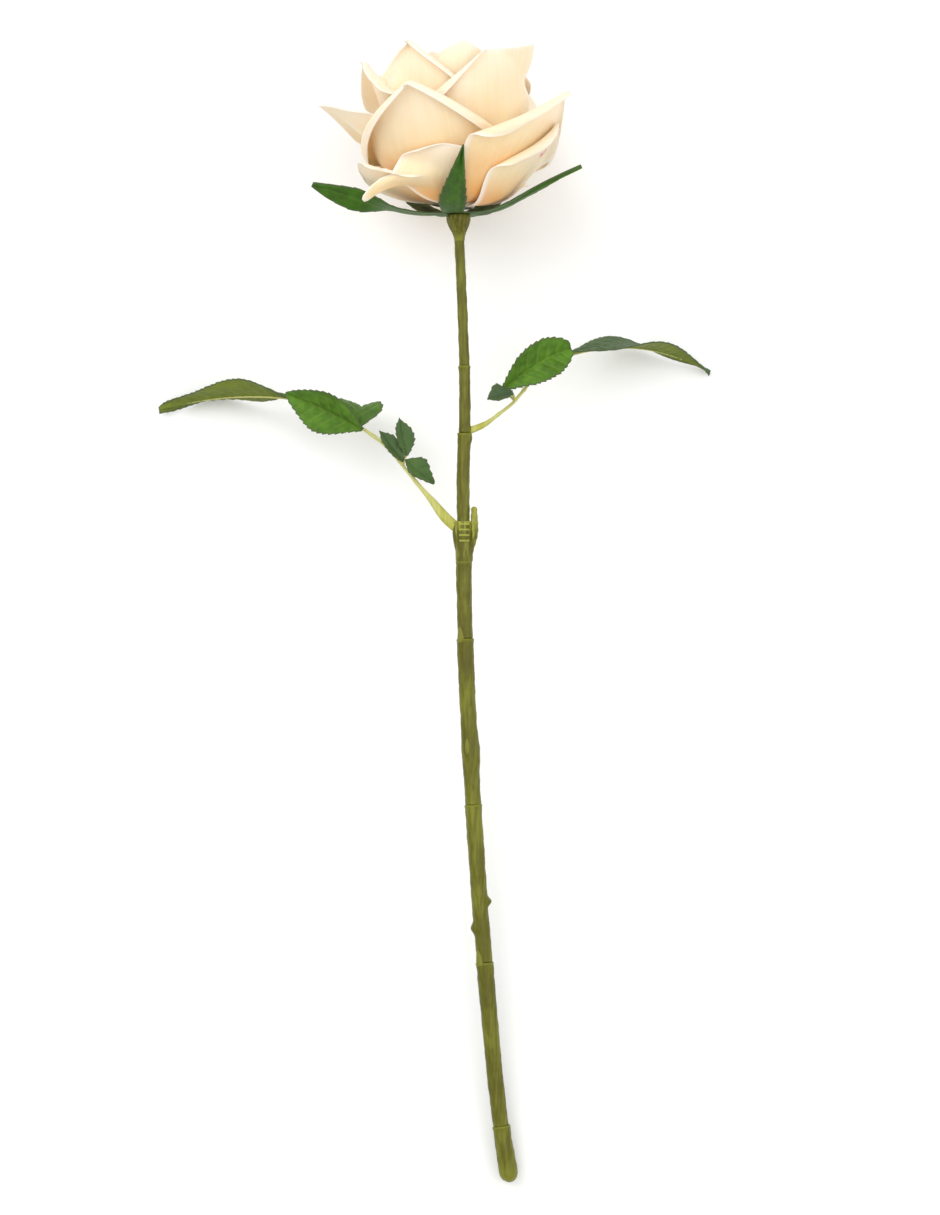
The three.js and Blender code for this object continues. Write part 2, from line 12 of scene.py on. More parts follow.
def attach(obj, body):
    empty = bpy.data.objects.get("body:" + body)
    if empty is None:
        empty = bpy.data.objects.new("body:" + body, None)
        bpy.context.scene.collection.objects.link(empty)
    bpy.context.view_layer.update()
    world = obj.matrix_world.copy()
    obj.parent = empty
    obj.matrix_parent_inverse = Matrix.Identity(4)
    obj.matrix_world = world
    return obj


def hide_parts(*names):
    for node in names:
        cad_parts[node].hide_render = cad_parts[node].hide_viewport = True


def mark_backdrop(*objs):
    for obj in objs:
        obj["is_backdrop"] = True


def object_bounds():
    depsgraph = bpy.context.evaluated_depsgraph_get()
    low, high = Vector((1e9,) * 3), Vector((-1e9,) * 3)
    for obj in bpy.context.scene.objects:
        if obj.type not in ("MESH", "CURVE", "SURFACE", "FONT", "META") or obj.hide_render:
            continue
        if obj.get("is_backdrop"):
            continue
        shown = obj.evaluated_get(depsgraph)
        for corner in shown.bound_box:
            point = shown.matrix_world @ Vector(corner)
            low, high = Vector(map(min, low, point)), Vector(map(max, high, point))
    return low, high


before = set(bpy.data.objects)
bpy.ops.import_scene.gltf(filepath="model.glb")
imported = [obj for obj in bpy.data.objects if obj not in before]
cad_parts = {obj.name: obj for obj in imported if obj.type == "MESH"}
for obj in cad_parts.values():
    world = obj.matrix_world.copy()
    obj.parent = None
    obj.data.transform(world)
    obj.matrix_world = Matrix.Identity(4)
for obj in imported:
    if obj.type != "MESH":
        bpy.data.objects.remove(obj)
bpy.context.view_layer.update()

bl_info = {
    "name": "Artificial rose stem",
    "version": (1, 0, 0),
    "blender": (4, 5, 0),
    "location": "View3D > Sidebar > Rose",
    "description": "Builds an artificial rose's petals, leaflets, stem and stage around its packed model",
    "category": "Add Mesh",
}

MM = 0.001
BODY = "root"
STEM_RISE = math.radians(5.9)  # the stem climbs from its cut end to the head


# ---------- numbers and colours ----------
def srgb(code):
    """Linear colour from an sRGB hex code."""
    parts = [int(code[i:i + 2], 16) / 255 for i in (1, 3, 5)]
    return tuple(c / 12.92 if c <= 0.04045 else ((c + 0.055) / 1.055) ** 2.4 for c in parts) + (1.0,)


def lerp(a, b, t):
    """From a to b, at t between 0 and 1."""
    return a + (b - a) * t


def smooth(t):
    """Eases t from 0 to 1, and holds it there outside."""
    t = np.clip(t, 0, 1)
    return t * t * (3 - 2 * t)


def unit(vectors):
    """Vectors brought to length 1."""
    return vectors / np.maximum(np.linalg.norm(vectors, axis=-1, keepdims=True), 1e-12)


def wire_centre_line():
    """Centre points of the stem wire, from the head down, in millimetres, read off its own rings."""
    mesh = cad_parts["stem_wire"].data
    points = np.array([vertex.co[:] for vertex in mesh.vertices]) / MM
    points = np.unique(points.round(3), axis=0)
    points = points[np.argsort(-points[:, 1])]
    levels = np.split(points, np.where(-np.diff(points[:, 1]) > 3)[0] + 1)
    return np.array([level.mean(axis=0) for level in levels])


CENTRE_LINE = wire_centre_line()
RECEPTACLE = CENTRE_LINE[0]  # where the petals, the sepals and the stem meet


def head_to_row(points):
    """Turns points of the head's own frame, +Y along its axis, into the part's frame."""
    rise = np.array([
        [1, 0, 0],
        [0, math.cos(STEM_RISE), -math.sin(STEM_RISE)],
        [0, math.sin(STEM_RISE), math.cos(STEM_RISE)],
    ])
    return points @ rise.T + RECEPTACLE


# ---------- meshes ----------
def grid_faces(rows, columns, first=0, flip=False):
    """Quads of a grid of rows x columns points, numbered from first."""
    faces = []
    for i in range(rows - 1):
        for j in range(columns - 1):
            a, b = first + i * columns + j, first + (i + 1) * columns + j
            quad = (a, b, b + 1, a + 1)
            faces.append(quad[::-1] if flip else quad)
    return faces


def new_mesh(name, points, faces, material, attributes=None, uv=None):
    """A smooth object from points in millimetres, with point attributes and a UV map."""
    mesh = bpy.data.meshes.new(name)
    mesh.from_pydata((np.asarray(points) * MM).tolist(), [], faces)
    mesh.shade_smooth()
    for key, values in (attributes or {}).items():
        layer = mesh.attributes.new(key, "FLOAT", "POINT")
        layer.data.foreach_set("value", np.asarray(values, dtype=np.float32))
    if uv is not None:
        corners = np.zeros(len(mesh.loops), dtype=np.int32)
        mesh.loops.foreach_get("vertex_index", corners)
        layer = mesh.uv_layers.new(name="sheet")
        layer.data.foreach_set("uv", np.asarray(uv, dtype=np.float32)[corners].ravel())
    mesh.materials.append(material)
    mesh.update()
    made = bpy.data.objects.new(name, mesh)
    bpy.context.scene.collection.objects.link(made)
    return made


def surface_normals(grid):
    """The way out of a grid of points, at each."""
    across = np.gradient(grid, axis=0)
    along = np.gradient(grid, axis=1)
    return unit(np.cross(across, along))


def sheet_object(name, grid, uv, thickness, material, extra=None):
    """A closed sheet of even thickness with a rounded rim around a grid of points.

    Its attributes are under, 1 on the back, and rim, the distance from the edge in millimetres.
    """
    rows, columns = grid.shape[:2]
    normals = surface_normals(grid)
    front = grid + normals * thickness / 2
    back = grid - normals * thickness / 2
    ring = [(i, 0) for i in range(rows)] + [(rows - 1, j) for j in range(1, columns)]
    ring += [(i, columns - 1) for i in range(rows - 2, -1, -1)] + [(0, j) for j in range(columns - 2, 0, -1)]
    inner = [(min(max(i, 1), rows - 2), min(max(j, 1), columns - 2)) for i, j in ring]
    edge = np.array([grid[a] + unit(grid[a] - grid[b]) * thickness * 0.35 for a, b in zip(ring, inner)])

    count = rows * columns
    points = np.concatenate([front.reshape(-1, 3), back.reshape(-1, 3), edge])
    faces = grid_faces(rows, columns) + grid_faces(rows, columns, first=count, flip=True)
    for k, (a, b) in enumerate(zip(ring, ring[1:] + ring[:1])):
        front_a, front_b = a[0] * columns + a[1], b[0] * columns + b[1]
        edge_a, edge_b = 2 * count + k, 2 * count + (k + 1) % len(ring)
        faces.append((front_b, front_a, edge_a, edge_b))
        faces.append((edge_b, edge_a, front_a + count, front_b + count))

    steps = np.linalg.norm(np.diff(grid, axis=0), axis=-1)
    from_left = np.concatenate([np.zeros((1, columns)), np.cumsum(steps, axis=0)])
    climbs = np.linalg.norm(np.diff(grid, axis=1), axis=-1)
    from_foot = np.concatenate([np.zeros((rows, 1)), np.cumsum(climbs, axis=1)], axis=1)
    rim = np.minimum(np.minimum(from_left, from_left[-1] - from_left), from_foot[:, -1:] - from_foot).ravel()
    attributes = {
        "under": np.concatenate([np.zeros(count), np.ones(count), np.full(len(ring), 0.5)]),
        "rim": np.concatenate([rim, rim, np.zeros(len(ring))]),
    }
    ring_index = [a[0] * columns + a[1] for a in ring]
    for key, values in (extra or {}).items():
        flat = np.asarray(values).ravel()
        attributes[key] = np.concatenate([flat, flat, flat[ring_index]])
    flat = uv.reshape(-1, 2)
    return new_mesh(name, points, faces, material, attributes, np.concatenate([flat, flat, flat[ring_index]]))


def hand_over(piece, slot, *nodes):
    """Hangs a finished piece on the body it rides on and hides the CAD nodes it stands for; slot is not used.
    """
    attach(piece, BODY)
    if nodes:
        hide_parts(*nodes)


# ---------- materials ----------
def add_node(tree, kind, inputs=None, stops=(), **settings):
    """Adds a node with its settings and links.

    Each input takes a value, another node's output, or a node, which stands for its first output. Stops
    are a colour ramp's, as (position, sRGB hex).
    """
    made = tree.nodes.new(kind)
    for name, value in settings.items():
        setattr(made, name, value)
    for socket, value in (inputs or {}).items():
        if isinstance(value, bpy.types.Node):
            value = value.outputs[0]
        if isinstance(value, bpy.types.NodeSocket):
            tree.links.new(value, made.inputs[socket])
        else:
            made.inputs[socket].default_value = value
    while stops and len(made.color_ramp.elements) < len(stops):
        made.color_ramp.elements.new(0.5)
    for i, (position, code) in enumerate(stops):
        made.color_ramp.elements[i].position = position
        made.color_ramp.elements[i].color = srgb(code)
    return made


def start_material(name, shader_values):
    """A material with one Principled shader; returns the material, its tree and the shader."""
    material = bpy.data.materials.new(name)
    material.use_nodes = True
    tree = material.node_tree
    tree.nodes.clear()
    shader = add_node(tree, "ShaderNodeBsdfPrincipled", shader_values)
    add_node(tree, "ShaderNodeOutputMaterial", {"Surface": shader})
    return material, tree, shader


def petal_fabric(settings):
    """Stiffened polyester satin, heat-set: a soft matt cream, with peach painted low on each petal as the
    warm shade deep in the flower.

    The cloth is thin enough to glow a little, its rolled edges carry a painted highlight, and it keeps faint
    pleats that fan out from the claw. Its threads are about 0.2 mm apart and are drawn at 0.6 mm to show.
    """
    material, tree, shader = start_material("petal_satin", {
        "Roughness": 0.62, "IOR": 1.46, "Sheen Weight": 0.18, "Sheen Roughness": 0.45,
        "Subsurface Weight": 0.22, "Subsurface Scale": 3.5 * MM, "Subsurface Radius": (1.0, 0.62, 0.35),
    })
    uv = add_node(tree, "ShaderNodeUVMap", uv_map="sheet")
    split = add_node(tree, "ShaderNodeSeparateXYZ", {"Vector": uv})
    place = add_node(tree, "ShaderNodeTexCoord").outputs["Object"]
    clouds = add_node(tree, "ShaderNodeTexNoise", {"Vector": place, "Scale": 1 / (14 * MM), "Detail": 3.0})
    drift = add_node(tree, "ShaderNodeMath", {0: clouds, 1: 0.22, 2: -0.11}, operation="MULTIPLY_ADD")
    height = add_node(
        tree, "ShaderNodeMath", {0: split.outputs["Y"], 1: drift}, operation="ADD", use_clamp=True,
    )
    # Painted shade: peach at the claw, where the flower is deepest, going up to cream and a paler upper part.
    cloth_and_shade = add_node(tree, "ShaderNodeValToRGB", {"Fac": height}, stops=[
        (0.0, settings.depth_shade_hex), (0.2, settings.depth_shade_hex), (0.55, settings.cream_hex),
        (0.92, settings.rim_hex),
    ])

    # Painted highlight: within a few millimetres of the side and top edges the cloth is mixed towards near
    # white, as light on the rolled margins.
    rim = add_node(tree, "ShaderNodeAttribute", attribute_name="rim").outputs["Fac"]
    from_rim = add_node(tree, "ShaderNodeMath", {0: rim, 1: 7.0}, operation="DIVIDE", use_clamp=True)
    edge = add_node(tree, "ShaderNodeValToRGB", {"Fac": from_rim}, stops=[
        (0.0, "#ffffff"), (0.35, "#5a5a5a"), (1.0, "#000000"),
    ])
    highlighted = add_node(
        tree, "ShaderNodeMix", {0: edge, 6: cloth_and_shade, 7: srgb(settings.edge_highlight_hex)}, data_type="RGBA",
    ).outputs[2]

    fanned = add_node(tree, "ShaderNodeMapping", {"Vector": uv, "Scale": (34.0, 2.2, 1.0)})
    pleats = add_node(
        tree, "ShaderNodeTexNoise", {"Vector": fanned, "Scale": 1.0, "Detail": 4.0, "Roughness": 0.6},
    )
    streaks = add_node(
        tree, "ShaderNodeValToRGB", {"Fac": pleats}, stops=[(0.3, "#f9e3c4"), (0.7, "#ffffff")],
    )
    streaked = add_node(
        tree, "ShaderNodeMix", {0: 0.28, 6: highlighted, 7: streaks}, data_type="RGBA", blend_type="MULTIPLY",
    ).outputs[2]
    blush = add_node(tree, "ShaderNodeAttribute", attribute_name="blush").outputs["Fac"]
    cloth = add_node(
        tree, "ShaderNodeMix", {0: blush, 6: streaked, 7: srgb(settings.blush_hex)}, data_type="RGBA",
    ).outputs[2]
    tree.links.new(cloth, shader.inputs["Base Color"])

    thread_mm = 0.6
    length = add_node(tree, "ShaderNodeAttribute", attribute_name="length_mm").outputs["Fac"]
    pace = add_node(tree, "ShaderNodeMath", {0: length, 1: math.tau / thread_mm}, operation="MULTIPLY")
    threads = []
    for axis in ("X", "Y"):
        turns = add_node(tree, "ShaderNodeMath", {0: split.outputs[axis], 1: pace}, operation="MULTIPLY")
        threads.append(add_node(tree, "ShaderNodeMath", {0: turns}, operation="SINE"))
    weave = add_node(tree, "ShaderNodeMath", {0: threads[0], 1: threads[1]}, operation="MULTIPLY")
    woven = add_node(tree, "ShaderNodeBump", {"Height": weave, "Distance": 0.05 * MM, "Strength": 0.35})
    pleated = add_node(
        tree, "ShaderNodeBump", {"Height": pleats, "Distance": 0.35 * MM, "Strength": 0.6, "Normal": woven},
    )
    tree.links.new(pleated.outputs["Normal"], shader.inputs["Normal"])
    return material


def leaf_fabric(settings, kind):
    """Printed and heat-embossed polyester leaf cloth: bright on top, olive below, paler along the veins.

    The emboss is in the mesh; here are the print, painted shade on leaflets turned from the light, the fine
    crumple of the cloth and its satin coating.
    """
    material, tree, shader = start_material(f"{kind}_print", {
        "Roughness": 0.55, "IOR": 1.47, "Sheen Weight": 0.03, "Specular IOR Level": 0.25,
    })
    top_stops = [(0.3, settings.shade_hex), (0.68, settings.bright_hex)]
    back_stops = [(0.3, settings.under_dark_hex), (0.7, settings.under_hex)]
    if kind == "sepal":
        top_stops = back_stops = [(0.3, settings.sepal_dark_hex), (0.7, settings.sepal_hex)]
    strength = {
        name: add_node(tree, "ShaderNodeAttribute", attribute_name=name).outputs["Fac"]
        for name in ("vein", "shade", "under", "rim")
    }
    place = add_node(tree, "ShaderNodeTexCoord").outputs["Object"]
    mottle = add_node(
        tree, "ShaderNodeTexNoise", {"Vector": place, "Scale": 1 / (5 * MM), "Detail": 5.0, "Roughness": 0.6},
    )
    plain = add_node(tree, "ShaderNodeValToRGB", {"Fac": mottle}, stops=top_stops)
    back = add_node(tree, "ShaderNodeValToRGB", {"Fac": mottle}, stops=back_stops)
    veins = add_node(tree, "ShaderNodeMath", {0: strength["vein"], 1: 0.26}, operation="MULTIPLY")
    veined = add_node(
        tree, "ShaderNodeMix", {0: veins, 6: plain, 7: srgb(settings.vein_hex)}, data_type="RGBA",
    ).outputs[2]
    # Painted shade: a leaflet's shade mixes its print towards grey, darker on leaflets turned from the light.
    top = add_node(
        tree, "ShaderNodeMix", {0: strength["shade"], 6: veined, 7: srgb(settings.painted_shade_hex)},
        data_type="RGBA",
    ).outputs[2]
    both = add_node(
        tree, "ShaderNodeMix", {0: strength["under"], 6: top, 7: back}, data_type="RGBA",
    ).outputs[2]
    inside = add_node(
        tree, "ShaderNodeMath", {0: strength["rim"], 1: 0.7}, operation="DIVIDE", use_clamp=True,
    )
    cloth = add_node(
        tree, "ShaderNodeMix", {0: inside, 6: srgb(settings.rim_hex), 7: both}, data_type="RGBA",
    ).outputs[2]
    tree.links.new(cloth, shader.inputs["Base Color"])

    crumple = add_node(
        tree, "ShaderNodeTexVoronoi", {"Vector": place, "Scale": 1 / (1.1 * MM)}, feature="SMOOTH_F1",
    )
    relief = add_node(tree, "ShaderNodeBump", {"Height": crumple, "Distance": 0.12 * MM, "Strength": 0.5})
    tree.links.new(relief.outputs["Normal"], shader.inputs["Normal"])
    return material


def moulded_plastic(name, dark, base, light, roughness=0.42):
    """Injection-moulded polyethylene, tinted through and sprayed: waxy satin with drag lines along it."""
    material, tree, shader = start_material(name, {
        "Roughness": roughness, "IOR": 1.51, "Specular IOR Level": 0.3,
    })
    place = add_node(tree, "ShaderNodeTexCoord").outputs["Object"]
    across, along = 1 / (1.2 * MM), 1 / (16 * MM)
    drawn = add_node(tree, "ShaderNodeMapping", {"Vector": place, "Scale": (across, along, across)})
    lines = add_node(
        tree, "ShaderNodeTexNoise", {"Vector": drawn, "Scale": 1.0, "Detail": 4.0, "Roughness": 0.55},
    )
    patches = add_node(tree, "ShaderNodeTexNoise", {"Vector": place, "Scale": 1 / (30 * MM), "Detail": 2.0})
    fine = add_node(tree, "ShaderNodeMath", {0: lines, 1: 0.55}, operation="MULTIPLY")
    broad = add_node(tree, "ShaderNodeMath", {0: patches, 1: 0.45}, operation="MULTIPLY")
    paint = add_node(tree, "ShaderNodeMath", {0: fine, 1: broad}, operation="ADD")
    tint = add_node(
        tree, "ShaderNodeValToRGB", {"Fac": paint}, stops=[(0.32, dark), (0.5, base), (0.7, light)],
    )
    worn = add_node(tree, "ShaderNodeAttribute", attribute_name="worn").outputs["Fac"]
    colour = add_node(tree, "ShaderNodeMix", {0: worn, 6: tint, 7: srgb(light)}, data_type="RGBA").outputs[2]
    tree.links.new(colour, shader.inputs["Base Color"])
    grain = add_node(tree, "ShaderNodeTexNoise", {"Vector": place, "Scale": 1 / (0.5 * MM), "Detail": 2.0})
    grained = add_node(tree, "ShaderNodeBump", {"Height": grain, "Distance": 0.05 * MM, "Strength": 0.3})
    relief = add_node(
        tree, "ShaderNodeBump", {"Height": lines, "Distance": 0.3 * MM, "Strength": 0.5, "Normal": grained},
    )
    tree.links.new(relief.outputs["Normal"], shader.inputs["Normal"])
    return material


def bead_foam():
    """Moulded polystyrene foam: matt and pale, with beads about 1.4 mm across pressed into each other."""
    material, tree, shader = start_material("polystyrene_foam", {"Roughness": 0.85, "IOR": 1.55})
    place = add_node(tree, "ShaderNodeTexCoord").outputs["Object"]
    beads = add_node(tree, "ShaderNodeTexVoronoi", {"Vector": place, "Scale": 1 / (1.4 * MM)})
    tint = add_node(
        tree, "ShaderNodeValToRGB", {"Fac": beads}, stops=[(0.0, "#f2e3c8"), (0.7, "#fbf2e2")],
    )
    relief = add_node(tree, "ShaderNodeBump", {"Height": beads, "Distance": 0.15 * MM, "Strength": 1.0})
    tree.links.new(tint.outputs["Color"], shader.inputs["Base Color"])
    tree.links.new(relief.outputs["Normal"], shader.inputs["Normal"])
    return material


def drawn_wire():
    """Drawn steel wire: grey metal with fine lines along its length, from the die."""
    material, tree, shader = start_material("drawn_steel_wire", {"Metallic": 1.0, "Roughness": 0.38})
    place = add_node(tree, "ShaderNodeTexCoord").outputs["Object"]
    across, along = 1 / (0.3 * MM), 1 / (12 * MM)
    drawn = add_node(tree, "ShaderNodeMapping", {"Vector": place, "Scale": (across, along, across)})
    lines = add_node(tree, "ShaderNodeTexNoise", {"Vector": drawn, "Scale": 1.0})
    tint = add_node(
        tree, "ShaderNodeValToRGB", {"Fac": lines}, stops=[(0.3, "#85878a"), (0.7, "#a5a7a9")],
    )
    tree.links.new(tint.outputs["Color"], shader.inputs["Base Color"])
    return material


# ---------- petals ----------
# Lengths are in millimetres and angles in degrees. Open is the profile's slope from the axis at the base,
# the middle and the tip, base is where the claw starts, as its radius and height, and wrap is the radius
# that the cloth bends round at its foot and at its rim. A fold is the height of its line at the middle and at
# the edge, as shares of the length, then the roll's radius and its furthest turn. A tongue is its place and
# half width as shares of the length, then how far it reaches out and how it droops. Each petal lies outside
# the ones before it.
HEART = dict(
    open=(25, 4, -8), base=(2.9, 12), wrap=(6, 9), length=44, half=17, ripple=0.2, dome=0.1, tip=0, tilt=-14,
)
INNER = dict(
    open=(44, 7, -2), base=(4, 10), wrap=(8, 17), length=51, half=25, ripple=0.4, tilt=-8,
    fold_left=(1.02, 0.72, 2.5, 110), fold_right=(1.02, 0.72, 2.5, 110),
)
MIDDLE = dict(
    open=(56, 12, 0), base=(5.5, 9), wrap=(9, 24), length=57, half=28, ripple=0.5, tilt=-8,
    fold_left=(1.02, 0.7, 2.5, 120), fold_right=(1.02, 0.7, 2.5, 120),
)
BUD = dict(
    open=(66, 16, 2), base=(7, 7.5), wrap=(10, 32), length=62, half=33, ripple=0.6, top=0.2, dome=0.24,
    point=1.25, tip=0.05, tilt=-6, fold_left=(0.95, 0.56, 1.8, 160), fold_right=(0.95, 0.56, 1.8, 160),
)
OUTER = dict(
    open=(80, 34, 52), base=(8.5, 5), wrap=(12, 46), length=60, half=34, ripple=0.8, top=0.25, dome=0.26,
    point=1.25, tip=0.05, tilt=-6, fold_left=(0.94, 0.45, 2.0, 170), fold_right=(0.94, 0.45, 2.0, 170),
)
LOW = dict(
    open=(88, 52, 84), base=(9, 2.5), wrap=(14, 60), length=50, half=28, ripple=0.8, top=0.3, dome=0.16,
    tilt=-6, fold_left=(0.96, 0.5, 2.2, 170), fold_right=(0.96, 0.5, 2.2, 170),
)


def whorl(name, family, azimuths, first_seed):
    """Petals of one family, numbered, at the azimuths given."""
    return [
        dict(family, name=f"{name}_{i + 1}", azimuth=azimuth, seed=first_seed + i)
        for i, azimuth in enumerate(azimuths)
    ]


PETALS = [
    *whorl("heart_petal", HEART, (20, 140, 260), 0),
    *whorl("inner_petal", INNER, (50, 140, 230, 320), 10),
    *whorl("middle_petal", MIDDLE, (5, 95, 185, 275), 15),
    dict(BUD, name="bud_petal_1", azimuth=174, length=70, lean=-5, seed=25, dome_left=-0.02, dome_right=0.08),
    dict(
        BUD, name="bud_petal_2", azimuth=112, half=28, length=52, seed=24, fold_left=(1.0, 0.7, 3, 60),
        fold_right=(1.0, 0.8, 3, 50),
    ),
    dict(
        BUD, name="bud_petal_3", azimuth=-86, half=30, length=59, seed=23, dome=0.06, open=(66, 21, 12),
        fold_left=(0.97, 0.6, 2.4, 90), fold_right=(0.97, 0.6, 2.4, 90),
    ),
    dict(
        BUD, name="bud_petal_4", azimuth=-42, length=64, half_left=20, half_right=34, lean=4, seed=21,
        fold_left=(0.95, 0.68, 1.8, 160),
    ),
    dict(
        BUD, name="bud_petal_5", azimuth=26, half_left=38, half_right=28, length=57, lean=-4, seed=22,
        dome_left=0.24, dome_right=-0.12, fold_left=(0.97, 0.42, 1.8, 165), fold_right=(1.1, 0.8, 3, 40),
    ),
    dict(OUTER, name="outer_petal_1", azimuth=-154, length=51.4, tilt=-8, open=(80, 34, 26), seed=35),
    dict(OUTER, name="outer_petal_2", azimuth=148, length=54, base=(8.5, 7), open=(78, 38, 30), seed=34),
    dict(
        OUTER, name="outer_petal_3", azimuth=-86, half=24, length=58, top=0.2, open=(80, 32, 72), seed=33,
        dome=0.2, fold_left=(1.0, 0.6, 2.4, 150), fold_right=(1.0, 0.7, 2.4, 120),
    ),
    dict(
        OUTER, name="outer_petal_4", azimuth=-24, length=57, half_left=44, half_right=34, open=(80, 28, 36),
        top=0.15, seed=31, fold_left=(0.94, 0.42, 2.2, 170), fold_right=(0.94, 0.5, 1.8, 170),
    ),
    dict(LOW, name="low_petal_1", azimuth=168, length=30, half=24, base=(9, 5.5), open=(86, 46, 20), seed=43),
    dict(LOW, name="low_petal_2", azimuth=-138, length=42, open=(88, 50, 20), seed=45),
    dict(
        LOW, name="low_petal_3", azimuth=-62, length=36, half=18, top=0.5, open=(80, 66, 70), seed=44,
        fold_left=(1.0, 0.8, 2.8, 60), fold_right=(1.0, 0.5, 2.2, 120),
    ),
    dict(
        LOW, name="low_petal_5", azimuth=-10, length=32, half_left=24, half_right=22, lean=13, tip=0,
        dome=0.08, open=(88, 44, 30), base=(9, 2.0), seed=41, fold_left=(1.0, 0.7, 2.0, 120),
        fold_right=(0.97, 0.7, 2.0, 170), tongue=(0.5, 0.085, (-15, -1, 2), (1, -8, -2)),
    ),
    dict(
        OUTER, name="outer_petal_5", azimuth=38, half_left=32, half_right=28, top=0.35, lean=15, length=63,
        base=(8.8, 2.2), open=(86, 37, 24), seed=32, dome=0.2, tip=0.05, claw=0.3,
        fold_left=(0.93, 0.5, 2.2, 170), fold_right=(1.0, 0.5, 2.2, 150),
    ),
    dict(
        LOW, name="low_petal_4", azimuth=62, half_left=21, half_right=15, length=46, top=0.1, dome=0.25,
        dome_right=0.04, open=(88, 39, 34), base=(9, 1.2), claw=0.3, seed=42, blush=True,
        fold_right=(1.02, 0.9, 2.5, 50),
    ),
]

# How far past its fold a rolled margin is worked out, in millimetres.
ROLL_REACH = 30.0


def petal_profile(petal, count=81):
    """The centre line of a petal: share of its length, radius, height and slope."""
    share = np.linspace(0, 1, count)
    at_base, at_middle, at_tip = np.radians(petal["open"])
    turn = 0.45
    early = lerp(at_base, at_middle, 0.5 - 0.5 * np.cos(np.pi * np.clip(share / turn, 0, 1)))
    late = lerp(at_middle, at_tip, np.clip((share - turn) / (1 - turn), 0, 1) ** 1.6)
    slope = np.where(share < turn, early, late)
    step = petal["length"] / (count - 1)
    middle = (slope[1:] + slope[:-1]) / 2
    radius = petal["base"][0] + np.concatenate([[0], np.cumsum(np.sin(middle) * step)])
    height = petal["base"][1] + np.concatenate([[0], np.cumsum(np.cos(middle) * step)])
    return share, radius, height, slope


def outline(sheet, v):
    """Half width at a share of the length, as a share of the full half width."""
    claw, wide, top, taper = (sheet.get(key, usual) for key, usual in (
        ("claw", 0.14), ("wide", 0.62), ("top", 0.42), ("taper", 2.4)))
    grow = claw + (1 - claw) * np.sin(np.pi / 2 * np.clip(v / wide, 0, 1)) ** 1.15
    return grow * (1 - top * np.clip((v - wide) / (1 - wide), 0, 1) ** taper)


def rolled(past, radius, most, ease=1.2):
    """How far along the sheet and off it a point lies that is past a fold line, on a margin that rolls."""
    s = np.linspace(0, ROLL_REACH, 601)
    step = s[1]
    angle = np.minimum(np.cumsum(np.clip(s / ease, 0, 1) / radius * step), most)
    along = np.concatenate([[0], np.cumsum(np.cos(angle[:-1]) * step)])
    off = np.concatenate([[0], np.cumsum(np.sin(angle[:-1]) * step)])
    return np.interp(past, s, along), np.interp(past, s, off)


def flat_petal(petal, u, v):
    """A petal before it is wrapped: millimetres across it, up it and off its sheet, with rolled margins."""
    length = petal["length"]
    left, right = petal.get("half_left", petal.get("half")), petal.get("half_right", petal.get("half"))
    seed = petal["seed"]
    x = u * np.where(u < 0, left, right) * outline(petal, v)
    crown = petal.get("tip", 0.05) * np.clip(1 - np.abs(u) * 1.3, 0, 1) ** 2 * v ** 6
    dome = petal.get("dome", 0.16)
    dome = np.where(u < 0, petal.get("dome_left", dome), petal.get("dome_right", dome))
    y = length * (v - dome * np.abs(u) ** petal.get("point", 2.4) * v ** 3 + crown)
    waves = np.sin(3.7 * u + 1.7 * seed) + 0.6 * np.sin(5.1 * u + 2 * v + 2.9 * seed)
    waves = waves + 0.5 * np.sin(4 * v + 4.3 * seed)
    off = petal.get("ripple", 0.6) * v ** 2 * waves
    for side, key in ((1, "fold_right"), (-1, "fold_left")):
        if key not in petal:
            continue
        middle, edge, radius, most = petal[key]
        reach, drop = (right if side > 0 else left), (edge - middle) * length
        slant = math.hypot(reach, drop)
        mx, my = -side * drop / slant, reach / slant
        past = x * mx + (y - middle * length) * my
        along, lift = rolled(np.clip(past, 0, ROLL_REACH), radius, math.radians(most))
        x = np.where(past > 0, x + (along - past) * mx, x)
        y = np.where(past > 0, y + (along - past) * my, y)
        off = off + np.where(past > 0, lift, 0)
    roll = math.radians(petal.get("roll", 0)) * smooth((v - 0.4) / 0.35)
    off = off + x * np.sin(roll)
    x = x * np.cos(roll)
    lean = math.radians(petal.get("lean", 0))
    x, y = x * math.cos(lean) + y * math.sin(lean), -x * math.sin(lean) + y * math.cos(lean)
    return x, y, off + x * math.tan(math.radians(petal.get("tilt", 0)))


def petal_points(petal, u, v):
    """Points of a petal in the head's frame, and the way out from the head at each."""
    length = petal["length"]
    x, y, off = flat_petal(petal, u, v)
    shares, radii, heights, slopes = petal_profile(petal)
    t = np.clip(y / length, 0, 1)
    beyond = y - t * length
    slope = np.interp(t, shares, slopes)
    radius = np.interp(t, shares, radii) + beyond * np.sin(slope)
    height = np.interp(t, shares, heights) + beyond * np.cos(slope)
    wrap = lerp(*petal["wrap"], t)
    psi = x / wrap
    out = radius - wrap * (1 - np.cos(psi)) + off * np.cos(slope) * np.cos(psi)
    around = wrap * np.sin(psi) + off * np.cos(slope) * np.sin(psi)
    azimuth = math.radians(petal["azimuth"])
    cos, sin = math.cos(azimuth), math.sin(azimuth)
    turn = np.array([[cos, 0, -sin], [0, 1, 0], [sin, 0, cos]])
    points = np.stack([around, height - off * np.sin(slope), out], -1) @ turn
    if "tongue" in petal:
        at, width, reach, droop = petal["tongue"]
        strip = (np.exp(-(((v - at) / width) ** 4)) * np.clip(-u, 0, 1) ** 3)[..., None]
        points = points + strip * reach + strip ** 2 * droop
    outward = np.stack([np.cos(slope) * np.sin(psi), -np.sin(slope), np.cos(slope) * np.cos(psi)], -1) @ turn
    return points, outward


